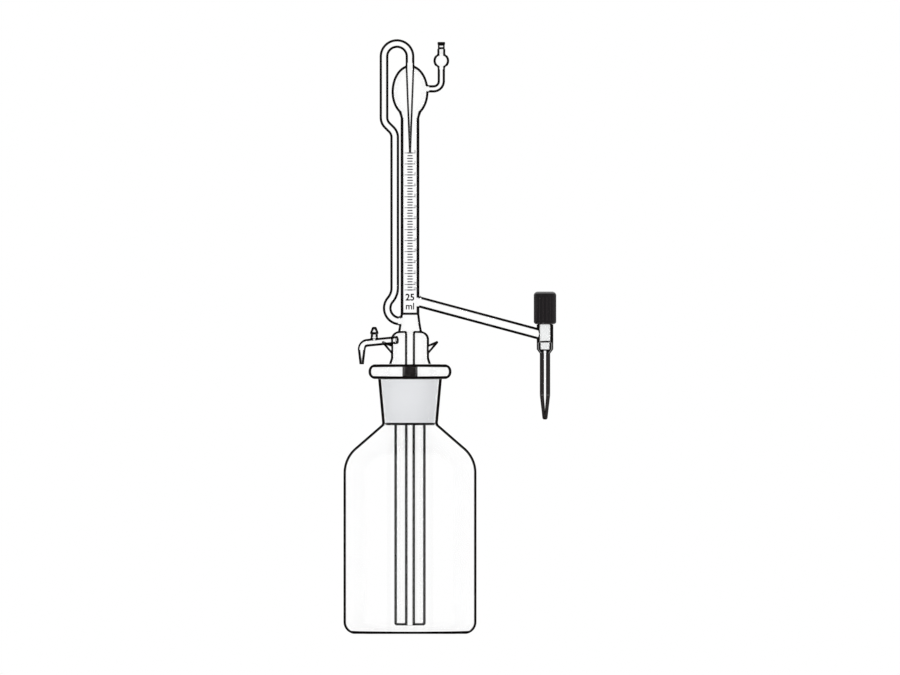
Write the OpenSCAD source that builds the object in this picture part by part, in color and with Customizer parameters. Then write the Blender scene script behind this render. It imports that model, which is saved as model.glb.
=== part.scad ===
// Automatic zero burette on a reservoir bottle, in millimetres.
// Z points up from the surface that the bottle stands on, the bottle's axis is
// the origin, and the outlet valve hangs out along +X.

/* [Bottle] */
// Outside diameter of the bottle's body
bottle_d = 133; // [120:1:150]
// Wall of the blown body
bottle_wall = 3; // [2:0.1:4]
// Height at which the wall and the shoulder would meet in a corner
body_h = 176.3; // [150:1:200]
// Slope of the shoulder, in degrees above the horizontal
shoulder_slope = 41; // [35:1:48]
// Radius that turns the wall into the shoulder
shoulder_round = 33; // [20:1:40]
// Radius of the bottom edge
foot_round = 12; // [6:0.5:16]
// Inside diameter of the flat ring that the bottle rests on
rest_ring_d = 92; // [80:1:98]
// Height of the pushed-up bottom over the resting ring
push_up = 2.5; // [1:0.1:5]
// Thickness of the bottom
base_t = 4; // [3:0.1:6]
// Outside diameter of the neck at its foot
neck_low_d = 55.6; // [50:0.2:60]
// Outside diameter of the neck under the rim
neck_high_d = 63.8; // [61:0.2:66]
// Height of the neck from its foot to the rim
neck_h = 45; // [35:1:55]
// Wall of the neck, measured to its ground bore
neck_wall = 3; // [2.4:0.1:3.6]
// Diameter of the rounded rim
rim_d = 83; // [76:1:90]
// Height of the rounded rim
rim_h = 14.8; // [10:0.2:16]

/* [Bell and ground cone] */
// Wall of the ground cone
cone_wall = 2; // [1.6:0.1:2.4]
// Height of the cone's closed top over the bottle's rim
cone_stand = 0.3; // [0.1:0.1:1]
// Outside diameter of the bell
bell_d = 38.2; // [34:0.2:40]
// Outside diameter of the bell's flared foot
bell_foot_d = 42; // [40.4:0.2:44]
// Height over which the foot flares
bell_foot_h = 6; // [4:0.5:9]
// Height of the bell
bell_h = 33; // [28:0.5:38]
// Wall of the bell
bell_wall = 1.8; // [1.4:0.1:2.2]
// Radius of the bell's shoulder
bell_round = 7; // [5:0.1:7.1]
// Diameter of a horn where it leaves the bell
horn_root_d = 7.8; // [4:0.2:8.4]
// Diameter of a horn at its rounded tip
horn_tip_d = 2.4; // [1.6:0.1:3]
// Distance that a horn reaches out from the bell
horn_reach = 7.4; // [5:0.1:10]
// Distance that a horn climbs
horn_climb = 6.8; // [4:0.1:9]
// Height of a horn's root over the bell's foot
horn_h = 14.6; // [12:0.2:18]

/* [Air inlet] */
// Angle by which the inlet is turned from the valve's opposite side
inlet_turn = 25; // [20:1:60]
// Fall of the inlet tube, in degrees
inlet_tilt = 5; // [0:1:10]
// Outside diameter of the inlet tube
inlet_d = 7.8; // [5:0.1:8]
// Wall of the inlet tube
inlet_wall = 1.2; // [0.9:0.1:1.5]
// Distance of the inlet tube's axis below the bell's top
inlet_drop = 9.4; // [8:0.2:12]
// Distance of the inlet tube's inner end from the bell's axis
inlet_start = 12.2; // [8:0.2:14]
// Distance of the hose nozzle from the bell's axis
nozzle_x = 53.3; // [46:0.5:60]
// Radius of the bend over the nozzle
inlet_bend = 6.5; // [5:0.1:9]
// Length of the nozzle
nozzle_l = 15; // [10:0.5:20]
// Diameter of the nozzle's end
nozzle_end_d = 4.4; // [2.6:0.1:5]
// Bore of the nozzle
nozzle_bore_d = 1.6; // [1:0.1:2.2]
// Distance of the vent stub from the bell's axis
vent_x = 39.4; // [34:0.2:43]
// Outside diameter of the vent stub
vent_d = 7.2; // [5:0.1:7.6]
// Height of the vent stub's rim over the inlet tube's axis
vent_h = 8.2; // [7:0.2:12]
// Diameter of the vent cap
cap_d = 8.4; // [7:0.1:10]
// Height of the vent cap over the stub
cap_h = 7.1; // [4:0.1:9]

/* [Feed and drop tube] */
// Outside diameter of the feed tube and the drop tube
feed_d = 10.2; // [7:0.1:10.8]
// Wall of the feed tube and the drop tube
feed_wall = 1.4; // [1:0.1:1.8]
// Diameter of the rubber sleeve
sleeve_d = 15.2; // [13:0.2:17]
// Length of the rubber sleeve
sleeve_l = 11.5; // [9:0.5:16]
// Distance of the sleeve's top below the bottle's rim
sleeve_drop = 0.8; // [0.4:0.1:6]
// Distance between the drop tube's end and the bottle's floor
drop_rest = 2; // [1:0.5:8]
// Diameter of the jacket round the drop tube
jacket_d = 31.4; // [24:0.2:36]
// Wall of the jacket
jacket_wall = 1.5; // [1.2:0.1:2]
// Height of the jacket's top over the foot of the neck
jacket_in = 30; // [20:1:36]
// Radius of the jacket's sealed ends
jacket_round = 2.6; // [2:0.1:4]

/* [Neck chamber and riser] */
// Diameter of the chamber's foot
chamber_foot_d = 23.8; // [22:0.2:23.8]
// Height of the chamber
chamber_h = 17; // [15:0.5:22]
// Wall of the chamber
chamber_wall = 1.4; // [1.1:0.1:1.7]
// Outside diameter of the riser tube
riser_d = 8.8; // [6.4:0.1:9.2]
// Wall of the riser tube
riser_wall = 1.4; // [1:0.1:1.6]
// Distance of the riser from the burette's axis beside the scale
riser_x = 15.3; // [14.5:0.1:17]
// Distance of the riser from the burette's axis beside the bulb
riser_high_x = 26; // [24.5:0.1:28]
// Reach of the riser's bottom bend from the burette's axis
riser_reach = 22.8; // [22:0.1:25]
// Radius of the riser's bottom bend
riser_low_bend = 12.8; // [11.5:0.1:13]
// Radius of the bend between the bottom bend and the straight riser
riser_turn_bend = 18; // [12:0.5:20]
// Distance of the riser's entry below the chamber's top
riser_entry = 7; // [6:0.2:9]
// Radius of the two bends under the bulb
riser_jog_bend = 11; // [8:0.5:12]
// Angle of the riser's slanting run under the bulb
riser_jog_tilt = 45; // [40:1:55]
// Distance of the slanting run's middle below the graduated tube's top
riser_jog_drop = 9.5; // [6:0.5:14]
// Height of the U-bend's centre over the bulb's middle
riser_u_rise = 35.4; // [33:0.2:40]

/* [Graduated tube] */
// Outside diameter of the graduated tube
tube_d = 18.8; // [17.4:0.1:19]
// Bore of the graduated tube, which sets the volume under each line
tube_bore_d = 15.24; // [14:0.02:15.6]
// Length of the scale from zero to the last line
scale_l = 137; // [110:1:160]
// Height of the last line over the tube's closed bottom
scale_foot = 24; // [23:0.5:30]
// Length of the tube over the zero line
tube_head = 35; // [28:0.5:40]
// Thickness of the tube's closed bottom
tube_floor = 1.6; // [1.2:0.1:2.5]
// Full volume of the scale, in millilitres
capacity = 25; // [10:1:50]
// Lines for each millilitre
lines_per_ml = 2; // [1:1:2]
// Length of the lines at even millilitres and at the scale's end, along the glass
long_line = 11.6; // [9:0.2:14]
// Length of the lines at odd millilitres
middle_line = 6.5; // [5.4:0.1:8]
// Length of the lines at half millilitres
short_line = 5; // [3:0.1:5.3]
// Width of a line
line_w = 0.6; // [0.3:0.05:0.8]
// Thickness of the enamel that the lines are made of
line_t = 0.12; // [0.08:0.01:0.2]

/* [Zero bulb and jet] */
// Diameter of the zero bulb
bulb_d = 37; // [32:0.2:38]
// Wall of the zero bulb
bulb_wall = 1.4; // [1.1:0.1:1.8]
// Height of the bulb's widest place over the graduated tube
bulb_mid_h = 26; // [24:0.5:30]
// Height of the bulb's oval over its widest place
bulb_up_h = 27; // [24:0.5:29]
// Depth of the bulb's oval under its widest place
bulb_low_h = 25.5; // [22:0.5:27]
// Width of the hollow fillet at the bulb's foot
bulb_foot = 1.8; // [1:0.1:3]
// Diameter of the jet's tip
jet_tip_d = 2.2; // [1.2:0.1:2.6]
// Bore at the jet's tip
jet_bore_d = 0.7; // [0.4:0.05:1]

/* [Guard tube] */
// Outside diameter of the guard tube
guard_d = 7.4; // [5.4:0.1:7.6]
// Wall of the guard tube
guard_wall = 1.2; // [0.9:0.1:1.4]
// Height of the guard tube's root over the bulb's middle
guard_root = 3.1; // [1:0.1:5]
// Distance of the guard tube's upright from the burette's axis
guard_x = 31.3; // [30.5:0.1:36]
// Radius of the guard tube's bend
guard_bend = 7.75; // [6:0.1:8.5]
// Diameter of the guard tube's ball
guard_ball_d = 15.8; // [13:0.2:18]
// Height of the ball's middle over the bulb's middle
guard_ball_h = 31.2; // [27:0.2:36]
// Diameter of the guard tube's neck
guard_neck_d = 8; // [7:0.1:8.4]
// Bore of the guard tube's neck
guard_neck_bore_d = 5.2; // [4.6:0.1:5.6]
// Height of the guard tube's mouth over the ball's middle
guard_mouth_h = 11.8; // [10:0.2:15]
// Diameter of the stopper's head
stopper_head_d = 7.6; // [7:0.1:10]
// Height of the stopper's head
stopper_head_h = 3; // [2:0.1:4]
// Diameter of the stopper's body
stopper_body_d = 6.8; // [5.8:0.1:7]
// Height of the stopper's body
stopper_body_h = 4; // [3:0.1:6]
// Length of the stopper's spigot in the mouth
stopper_spigot_l = 5; // [3:0.1:5.2]

/* [Side arm] */
// Outside diameter of the side arm
arm_d = 11.2; // [9:0.1:11.6]
// Wall of the side arm
arm_wall = 1.6; // [1.2:0.1:2]
// Fall of the side arm, in degrees
arm_tilt = 15; // [12:0.5:17]
// Height at which its axis meets the burette's axis, over the closed bottom
arm_rise = 14.5; // [13:0.1:17]
// Distance of the valve from the burette's axis
valve_x = 135; // [120:1:150]

/* [Valve] */
// Outside diameter of the barrel
barrel_d = 16.6; // [15.6:0.1:18]
// Height of the barrel's shoulder over the side arm's axis
barrel_up = 11.2; // [10:0.1:14]
// Depth of the barrel's foot below the side arm's axis
barrel_down = 13.7; // [13.5:0.1:18]
// Height of the taper between the barrel and the delivery tip
barrel_taper_h = 4.2; // [2.5:0.1:5]
// Bore of the barrel round the spindle
barrel_bore_d = 11.8; // [11.2:0.1:12.4]
// Diameter of the barrel's hidden neck inside the knob
barrel_neck_d = 14.6; // [14:0.1:15]
// Height of the hidden neck
barrel_neck_h = 18; // [16:0.5:20]
// Length of the guide at the neck's top, where the thread is
guide_l = 8; // [6:0.5:9]
// Depth of the seat's edge below the side arm's axis
seat_drop = 7; // [6:0.1:8]
// Bore of the seat
seat_bore_d = 8.8; // [8:0.1:9.4]
// Height of the cone that narrows the seat to the outlet
seat_cone_h = 2.2; // [1.6:0.1:2.6]
// Diameter of the spindle
spindle_d = 10.2; // [9.6:0.1:10.6]
// Diameter of the spindle's plug
plug_d = 8.2; // [7:0.1:8.3]
// Cord diameter of the ring over the plug
seat_ring_t = 1.7; // [1.3:0.1:2]
// Cord diameter of the ring inside the knob
neck_ring_t = 1.8; // [1.4:0.1:2]
// Height of the upper ring over the barrel's shoulder
neck_ring_h = 3; // [2:0.1:4]
// Lift of the spindle when the valve is fully open
valve_lift = 5; // [3:0.5:5]
// Diameter of the knob
knob_d = 22.6; // [20:0.2:26]
// Height of the knob
knob_h = 32.5; // [28:0.5:38]
// Radius of the knob's top edge
knob_round = 4; // [2:0.1:5]
// Radius of the knob's bottom edge
knob_foot_round = 2.6; // [1:0.1:3]
// Number of flutes round the knob
knob_flutes = 18; // [12:1:24]
// Width of a flute
flute_d = 2.4; // [1.6:0.1:3]
// Depth of a flute
flute_depth = 0.7; // [0.4:0.05:1]
// Thickness of the knob's cap over the spindle
knob_cap_t = 4; // [3:0.5:6]

/* [Delivery tip] */
// Outside diameter of the tip
tip_d = 10.4; // [9:0.1:11]
// Length of the straight part
tip_straight = 41.5; // [30:0.5:50]
// Length of the tapered part
tip_taper = 24.5; // [18:0.5:30]
// Diameter of the outlet end
tip_end_d = 4.8; // [3.6:0.1:5.6]
// Bore of the tip
tip_bore_d = 2.3; // [1.6:0.1:3]
// Bore of the outlet end
tip_end_bore_d = 1; // [0.6:0.1:1.4]

/* [Clearances] */
// Radial clearance of the ground joint
ground_gap = 0.1; // [0.05:0.01:0.1]
// Radial clearance of the sleeve on the feed tube
sleeve_gap = 0.05; // [0.03:0.01:0.1]
// Radial clearance of the spindle in its guide and of the rings
spindle_gap = 0.1; // [0.05:0.01:0.1]
// Radial clearance of the stopper and the vent cap in their mouths
plug_gap = 0.15; // [0.1:0.01:0.3]
// Clearance between the knob and the barrel
knob_gap = 0.3; // [0.2:0.05:0.6]
// Gap between the two tubes inside the sleeve
butt_gap = 0.4; // [0.2:0.1:0.8]

/* [Hidden] */

// Surfaces count as round at this many facets
$fn = 72;
// Straight steps in a rounded corner of an outline
corner_steps = 8;
// Straight steps in a quarter of the bulb's oval
oval_steps = 12;
// Distance by which a cut runs past a surface
overrun = 1;
// Length by which a straight run laps over a bend that it is joined to
joint_lap = 0.05;
// Radius that drawn glass tube loses in a bend
bend_thinning = 0.02;
// Share of the chamber's widening that is left at half its height
waist_share = 0.4;

// Small radii and steps that the larger pieces carry
edge_round = bottle_wall / 6;
rim_round = rim_h * 0.47;
neck_fillet = neck_wall;
rest_fillet = push_up;
panel_r = rest_ring_d / 3;

// Slopes and radii of the bottle and its ground neck
bottle_r = bottle_d / 2;
neck_low_r = neck_low_d / 2;
neck_high_r = neck_high_d / 2;
socket_low_r = neck_low_r - neck_wall;
socket_rise = (neck_high_r - neck_low_r) / neck_h;
z_neck = body_h + (bottle_r - neck_low_r) * tan(shoulder_slope);
z_rim = z_neck + neck_h;
z_rim_top = z_rim + rim_h;
z_floor = push_up + base_t;
inner_r = bottle_r - bottle_wall;
inner_body_h = body_h - bottle_wall * tan((90 - shoulder_slope) / 2);
z_socket = inner_body_h + (inner_r - socket_low_r) * tan(shoulder_slope);

// Levels of the head, each standing on the one before
z_cone_top = z_rim_top + cone_stand;
z_bell_top = z_cone_top + bell_h;
z_tube = z_bell_top + chamber_h;
z_last = z_tube + scale_foot;
z_zero = z_last + scale_l;
z_tube_top = z_zero + tube_head;
z_bulb = z_tube_top + bulb_mid_h;

// Cone, bell and chamber
z_cone = z_neck + edge_round;
bell_r = bell_d / 2;
bell_foot_r = bell_foot_d / 2;
bell_hole_r = bell_foot_r - bell_wall;
chamber_foot_r = chamber_foot_d / 2;

// Feed line and sleeve
feed_r = feed_d / 2;
feed_bore_r = feed_r - feed_wall;
sleeve_r = sleeve_d / 2;
z_sleeve_top = z_rim_top - sleeve_drop;
z_sleeve = z_sleeve_top - sleeve_l;
z_butt = z_sleeve_top - sleeve_l / 2;
z_drop = z_floor + drop_rest;
z_jacket_top = z_neck + jacket_in;
jacket_r = jacket_d / 2;

// Air inlet, in the upright plane that it lies in
inlet_r = inlet_d / 2;
inlet_bore_r = inlet_r - inlet_wall;
z_inlet = z_bell_top - inlet_drop + (bell_r - inlet_start) * tan(inlet_tilt);
inlet_run = (nozzle_x - inlet_bend - inlet_start + inlet_bend * sin(inlet_tilt)) / cos(inlet_tilt);
inlet_begin = [inlet_start, z_inlet];
inlet_end = inlet_begin + inlet_run * [cos(inlet_tilt), -sin(inlet_tilt)];
inlet_centre = inlet_end - inlet_bend * [sin(inlet_tilt), cos(inlet_tilt)];
z_nozzle = inlet_centre[1] - nozzle_l;
z_vent_axis = z_inlet - (vent_x - inlet_start) * tan(inlet_tilt);
z_vent = z_vent_axis + vent_h;
vent_r = vent_d / 2;
vent_bore_r = vent_r - inlet_wall;

// Riser, in the XZ plane with the burette's axis at zero
riser_r = riser_d / 2;
riser_bore_r = riser_r - riser_wall;
z_riser = z_tube - riser_entry;
low_centre = [riser_low_bend - riser_reach, z_riser + riser_low_bend];
turn_dx = riser_x + riser_turn_bend + low_centre[0];
turn_span = riser_low_bend + riser_turn_bend;
turn_dz = sqrt(turn_span * turn_span - turn_dx * turn_dx);
turn_angle = atan2(turn_dz, turn_dx);
turn_centre = low_centre + [-turn_dx, turn_dz];
jog_step = riser_high_x - riser_x;
jog_turn = riser_jog_bend * (1 - cos(riser_jog_tilt));
jog_run = (jog_step - 2 * jog_turn) / sin(riser_jog_tilt);
jog_half = riser_jog_bend * sin(riser_jog_tilt) + jog_run * cos(riser_jog_tilt) / 2;
z_jog = z_tube_top - riser_jog_drop;
jog_low = [-riser_x - riser_jog_bend, z_jog - jog_half];
jog_high = [riser_jog_bend - riser_high_x, z_jog + jog_half];
jog_dir = [cos(riser_jog_tilt), sin(riser_jog_tilt)];
u_bend = riser_high_x / 2;
z_u = z_bulb + riser_u_rise;

// Graduated tube, bulb and jet
tube_r = tube_d / 2;
tube_bore_r = tube_bore_d / 2;
tube_wall = tube_r - tube_bore_r;
line_count = capacity * lines_per_ml;
line_pitch = scale_l / line_count;
bulb_r = bulb_d / 2;
bulb_foot_angle = acos((tube_r + bulb_foot) / bulb_r);
bulb_hole_angle = acos(riser_r / bulb_r);
z_bulb_top = z_bulb + bulb_up_h * sin(bulb_hole_angle);
z_jet = z_bulb_top - bulb_wall;

// Guard tube
guard_r = guard_d / 2;
guard_bore_r = guard_r - guard_wall;
z_guard = z_bulb + guard_root;
z_ball = z_bulb + guard_ball_h;
z_mouth = z_ball + guard_mouth_h;
guard_neck_r = guard_neck_d / 2;
guard_neck_bore_r = guard_neck_bore_d / 2;

// Side arm and valve
arm_r = arm_d / 2;
arm_bore_r = arm_r - arm_wall;
z_arm = z_tube + arm_rise;
z_valve = z_arm - valve_x * tan(arm_tilt);
barrel_r = barrel_d / 2;
barrel_bore_r = barrel_bore_d / 2;
z_shoulder = z_valve + barrel_up;
z_barrel_top = z_shoulder + barrel_neck_h;
z_foot = z_valve - barrel_down;
z_tip_top = z_foot - barrel_taper_h;
z_seat = z_valve - seat_drop;
seat_r = seat_bore_d / 2;
spindle_r = spindle_d / 2;
plug_r = plug_d / 2;
z_plug = z_foot + spindle_gap;
seat_ring_r = seat_ring_t / 2;
seat_ring_axis = spindle_r - seat_ring_r;
z_seat_ring = z_seat + spindle_gap + seat_ring_r;
neck_ring_r = neck_ring_t / 2;
neck_ring_axis = barrel_bore_r - spindle_gap - neck_ring_r;
z_neck_ring = z_shoulder + neck_ring_h;
knob_r = knob_d / 2;
z_knob = z_shoulder + knob_gap;
z_knob_top = z_knob + knob_h;
z_spindle_top = z_knob_top - knob_cap_t;
flute_r = flute_d / 2;
tip_r = tip_d / 2;
z_taper = z_tip_top - tip_straight;
z_tip = z_taper - tip_taper;

function unit(v) = v / norm(v);

function turn_sign(a, p, b) = cross(p - a, b - p) > 0 ? 1 : -1;

// One corner of an outline at p, between its neighbours a and b, with radius r
function corner(a, p, b, r) =
    let (u = unit(a - p), v = unit(b - p))
    let (half = acos(u * v) / 2)
    let (centre = p + unit(u + v) * r / sin(half))
    let (from = p + u * r / tan(half) - centre)
    let (start = atan2(from[1], from[0]))
    let (sweep = turn_sign(a, p, b) * (180 - 2 * half))
    [for (i = [0:corner_steps]) centre + r * unit_at(start + sweep * i / corner_steps)];

function unit_at(angle) = [cos(angle), sin(angle)];

// An outline of corners [x, z, radius], turned into points
function soft(corners) =
    let (n = len(corners))
    [for (i = [0:n - 1])
        let (a = place(corners[(i + n - 1) % n]), p = place(corners[i]))
        let (b = place(corners[(i + 1) % n]), r = corners[i][2])
        each (r == 0 ? [p] : corner(a, p, b, r))];

function place(c) = [c[0], c[1]];

// The point one lap beyond q on the way from p
function beyond(p, q) = q + joint_lap * unit(q - p);

// Points of an oval about the axis at height z, from angle a to angle b
function oval(rx, rz, z, a, b) =
    [for (i = [0:oval_steps]) oval_point(rx, rz, z, a + (b - a) * i / oval_steps)];

function oval_point(rx, rz, z, angle) = [rx * cos(angle), z + rz * sin(angle)];

// Radius of the ground neck's bore at a height
function socket_r(z) = socket_low_r + (z - z_neck) * socket_rise;

module turned(corners) {
    rotate_extrude() polygon(soft(corners));
}

// A straight rod in the XZ plane from p to q, whose radius goes from ra to rb
module rod(p, q, ra, rb) {
    d = q - p;
    translate([p[0], 0, p[1]])
        rotate([0, atan2(d[0], d[1]), 0])
            cylinder(h = norm(d), r1 = ra, r2 = rb);
}

// A straight pipe in the XZ plane from p to q
module pipe(p, q, r, bore_r) {
    d = q - p;
    translate([p[0], 0, p[1]])
        rotate([0, atan2(d[0], d[1]), 0])
            linear_extrude(norm(d))
                wall_ring(r, bore_r);
}

// A bent pipe in the XZ plane about c, from angle a to angle b, a touch thinner
module bent_pipe(c, radius, a, b, r, bore_r) {
    translate([c[0], 0, c[1]])
        rotate([90, 0, 0])
            rotate([0, 0, a])
                rotate_extrude(angle = b - a)
                    translate([radius, 0])
                        wall_ring(r - bend_thinning, bore_r - bend_thinning);
}

module wall_ring(r, bore_r) {
    difference() {
        circle(r);
        circle(bore_r);
    }
}

module ring(radius, z, r) {
    translate([0, 0, z])
        rotate_extrude()
            translate([radius, 0])
                circle(r);
}

module at_valve() {
    translate([valve_x, 0, 0])
        children();
}

module at_inlet() {
    rotate([0, 0, 180 + inlet_turn])
        children();
}

module reservoir_bottle() {
    color("aliceblue", 0.5)
        turned([
            [0, push_up, 0],
            [panel_r, push_up, panel_r / 2],
            [rest_ring_d / 2, 0, rest_fillet],
            [bottle_r, 0, foot_round],
            [bottle_r, body_h, shoulder_round],
            [neck_low_r, z_neck, neck_fillet],
            [neck_high_r, z_rim, edge_round],
            [rim_d / 2, z_rim, rim_round],
            [rim_d / 2, z_rim_top, rim_round],
            [socket_r(z_rim_top), z_rim_top, edge_round],
            [socket_low_r, z_neck, 0],
            [socket_low_r, z_socket, neck_fillet],
            [inner_r, inner_body_h, shoulder_round - bottle_wall],
            [inner_r, base_t, foot_round - bottle_wall],
            [rest_ring_d / 2, base_t, rest_fillet],
            [panel_r, z_floor, panel_r / 2],
            [0, z_floor, 0]
        ]);
}

module rubber_sleeve() {
    grip_r = feed_r + sleeve_gap;
    color("#231f20")
        turned([
            [grip_r, z_sleeve, 0],
            [sleeve_r, z_sleeve, edge_round],
            [sleeve_r, z_sleeve_top, edge_round],
            [grip_r, z_sleeve_top, 0]
        ]);
}

module drop_tube() {
    lip = feed_wall / 3;
    z_top = z_butt - butt_gap / 2;
    color("aliceblue", 0.5)
        turned([
            [feed_bore_r, z_drop, lip],
            [feed_r, z_drop, 0],
            [feed_r, z_top, lip],
            [feed_bore_r, z_top, lip]
        ]);
}

module drop_jacket() {
    in_r = jacket_r - jacket_wall;
    in_round = jacket_round - jacket_wall;
    color("aliceblue", 0.5)
        turned([
            [feed_r, z_drop, 0],
            [jacket_r, z_drop, jacket_round],
            [jacket_r, z_jacket_top, jacket_round],
            [feed_r, z_jacket_top, 0],
            [feed_r, z_jacket_top - jacket_wall, 0],
            [in_r, z_jacket_top - jacket_wall, in_round],
            [in_r, z_drop + jacket_wall, in_round],
            [feed_r, z_drop + jacket_wall, 0]
        ]);
}

module ground_cone() {
    low_r = socket_r(z_cone) - ground_gap;
    top_r = socket_r(z_cone_top) - ground_gap;
    under_r = socket_r(z_cone_top - cone_wall) - ground_gap - cone_wall;
    lip = cone_wall / 3;
    color("#e5e7ea")
        turned([
            [low_r - cone_wall, z_cone, lip],
            [low_r, z_cone, lip],
            [top_r, z_cone_top, lip],
            [bell_hole_r, z_cone_top, 0],
            [bell_hole_r, z_cone_top - cone_wall, lip],
            [under_r, z_cone_top - cone_wall, cone_wall]
        ]);
}

module bell_blank() {
    turned([
        [0, z_cone_top, 0],
        [bell_foot_r, z_cone_top, 0],
        [bell_r, z_cone_top + bell_foot_h, bell_foot_h],
        [bell_r, z_bell_top, bell_round],
        [0, z_bell_top, 0]
    ]);
}

module bell() {
    in_r = bell_r - bell_wall;
    color("aliceblue", 0.5)
        difference() {
            turned([
                [bell_hole_r, z_cone_top, 0],
                [bell_foot_r, z_cone_top, 0],
                [bell_r, z_cone_top + bell_foot_h, bell_foot_h],
                [bell_r, z_bell_top, bell_round],
                [feed_r, z_bell_top, 0],
                [feed_r, z_bell_top - bell_wall, bell_wall],
                [in_r, z_bell_top - bell_wall, bell_round - bell_wall],
                [in_r, z_cone_top + bell_foot_h, bell_foot_h]
            ]);
            at_inlet()
                rod(inlet_begin, inlet_end, inlet_r, inlet_r);
        }
}

module horn() {
    root = [bell_r - bell_wall, z_cone_top + horn_h];
    tip = [bell_r + horn_reach, z_cone_top + horn_h + horn_climb];
    difference() {
        union() {
            rod(root, tip, horn_root_d / 2, horn_tip_d / 2);
            translate([tip[0], 0, tip[1]])
                sphere(d = horn_tip_d);
        }
        bell_blank();
    }
}

module retaining_hooks() {
    color("aliceblue", 0.5) {
        horn();
        mirror([1, 0, 0])
            horn();
    }
}

module air_inlet_tube() {
    past = overrun * unit(inlet_end - inlet_begin);
    run_end = beyond(inlet_begin, inlet_end);
    z_turn = inlet_centre[1] + joint_lap;
    color("aliceblue", 0.5)
        at_inlet() {
            difference() {
                union() {
                    rod(inlet_begin, run_end, inlet_r, inlet_r);
                    rod([vent_x, z_vent_axis], [vent_x, z_vent], vent_r, vent_r);
                }
                rod(inlet_begin - past, run_end + past, inlet_bore_r, inlet_bore_r);
                rod([vent_x, z_vent_axis], [vent_x, z_vent + overrun], vent_bore_r, vent_bore_r);
            }
            bent_pipe(inlet_centre, inlet_bend, 0, 90 - inlet_tilt, inlet_r, inlet_bore_r);
            translate([nozzle_x, 0, 0])
                turned([
                    [nozzle_bore_d / 2, z_nozzle, 0],
                    [nozzle_end_d / 2, z_nozzle, nozzle_bore_d / 4],
                    [inlet_r, z_turn, 0],
                    [inlet_bore_r, z_turn, 0]
                ]);
        }
}

module vent_cap() {
    spigot_r = vent_bore_r - plug_gap;
    spigot_l = vent_h - inlet_r - inlet_wall;
    color("#eceeee")
        at_inlet()
            translate([vent_x, 0, 0])
                turned([
                    [0, z_vent - spigot_l, 0],
                    [spigot_r, z_vent - spigot_l, spigot_r / 4],
                    [spigot_r, z_vent, 0],
                    [cap_d / 2, z_vent, 0],
                    [cap_d / 2, z_vent + cap_h / 5, cap_h / 12],
                    [cap_d / 4, z_vent + cap_h, cap_d / 6],
                    [0, z_vent + cap_h, 0]
                ]);
}

module neck_chamber() {
    waist_r = tube_r + (chamber_foot_r - tube_r) * waist_share;
    z_waist = z_bell_top + chamber_h / 2;
    color("aliceblue", 0.5)
        difference() {
            turned([
                [chamber_foot_r - chamber_wall, z_bell_top, 0],
                [chamber_foot_r, z_bell_top, 0],
                [waist_r, z_waist, chamber_h],
                [tube_r, z_tube, 0],
                [tube_r - chamber_wall, z_tube, 0],
                [waist_r - chamber_wall, z_waist, chamber_h]
            ]);
            rod([-chamber_foot_r - overrun, z_riser], [0, z_riser], riser_bore_r, riser_bore_r);
        }
}

module chamber_blank() {
    waist_r = tube_r + (chamber_foot_r - tube_r) * waist_share;
    turned([
        [0, z_bell_top, 0],
        [chamber_foot_r, z_bell_top, 0],
        [waist_r, z_bell_top + chamber_h / 2, chamber_h],
        [tube_r, z_tube, 0],
        [0, z_tube, 0]
    ]);
}

module feed_tube() {
    lip = feed_wall / 3;
    z_low = z_butt + butt_gap / 2;
    color("aliceblue", 0.5)
        turned([
            [feed_bore_r, z_low, lip],
            [feed_r, z_low, lip],
            [feed_r, z_bell_top, 0],
            [feed_bore_r, z_bell_top, lip]
        ]);
}

module riser_tube() {
    r = riser_r;
    bore_r = riser_bore_r;
    low_end = [low_centre[0], z_riser];
    seam = low_centre + [-turn_dx, turn_dz] * riser_low_bend / turn_span;
    seam_lap = joint_lap * unit([turn_dz, turn_dx]);
    side_low = [-riser_x, turn_centre[1]];
    side_high = [-riser_x, jog_low[1]];
    jog_from = jog_low + riser_jog_bend * jog_dir;
    jog_to = jog_high - riser_jog_bend * jog_dir;
    top_low = [-riser_high_x, jog_high[1]];
    top_high = [-riser_high_x, z_u];
    color("aliceblue", 0.5) {
        difference() {
            union() {
                pipe(beyond([0, z_riser], low_end), [0, z_riser], r, bore_r);
                bent_pipe(low_centre, riser_low_bend, 180 - turn_angle, 270, r, bore_r);
            }
            chamber_blank();
        }
        pipe(seam - seam_lap, seam + seam_lap, r, bore_r);
        bent_pipe(turn_centre, riser_turn_bend, -turn_angle, 0, r, bore_r);
        pipe(beyond(side_high, side_low), beyond(side_low, side_high), r, bore_r);
        bent_pipe(jog_low, riser_jog_bend, 0, riser_jog_tilt, r, bore_r);
        pipe(beyond(jog_to, jog_from), beyond(jog_from, jog_to), r, bore_r);
        bent_pipe(jog_high, riser_jog_bend, 180, 180 + riser_jog_tilt, r, bore_r);
        pipe(beyond(top_high, top_low), beyond(top_low, top_high), r, bore_r);
        bent_pipe([-u_bend, z_u], u_bend, 0, 180, r, bore_r);
        pipe([0, z_jet], [0, z_u + joint_lap], r, bore_r);
    }
}

// The bulb's oval side from its foot to the riser's hole
function bulb_side(wall) = concat(
    oval(bulb_r - wall, bulb_low_h - wall, z_bulb, -bulb_foot_angle, 0),
    [for (i = [1:oval_steps])
        oval_point(bulb_r - wall, bulb_up_h - wall, z_bulb, bulb_hole_angle * i / oval_steps)]
);

function backwards(points) = [for (i = [len(points) - 1:-1:0]) points[i]];

module bulb_blank() {
    rotate_extrude()
        polygon(concat([[0, z_tube_top], [tube_r, z_tube_top]], bulb_side(0), [[0, z_bulb_top]]));
}

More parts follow.
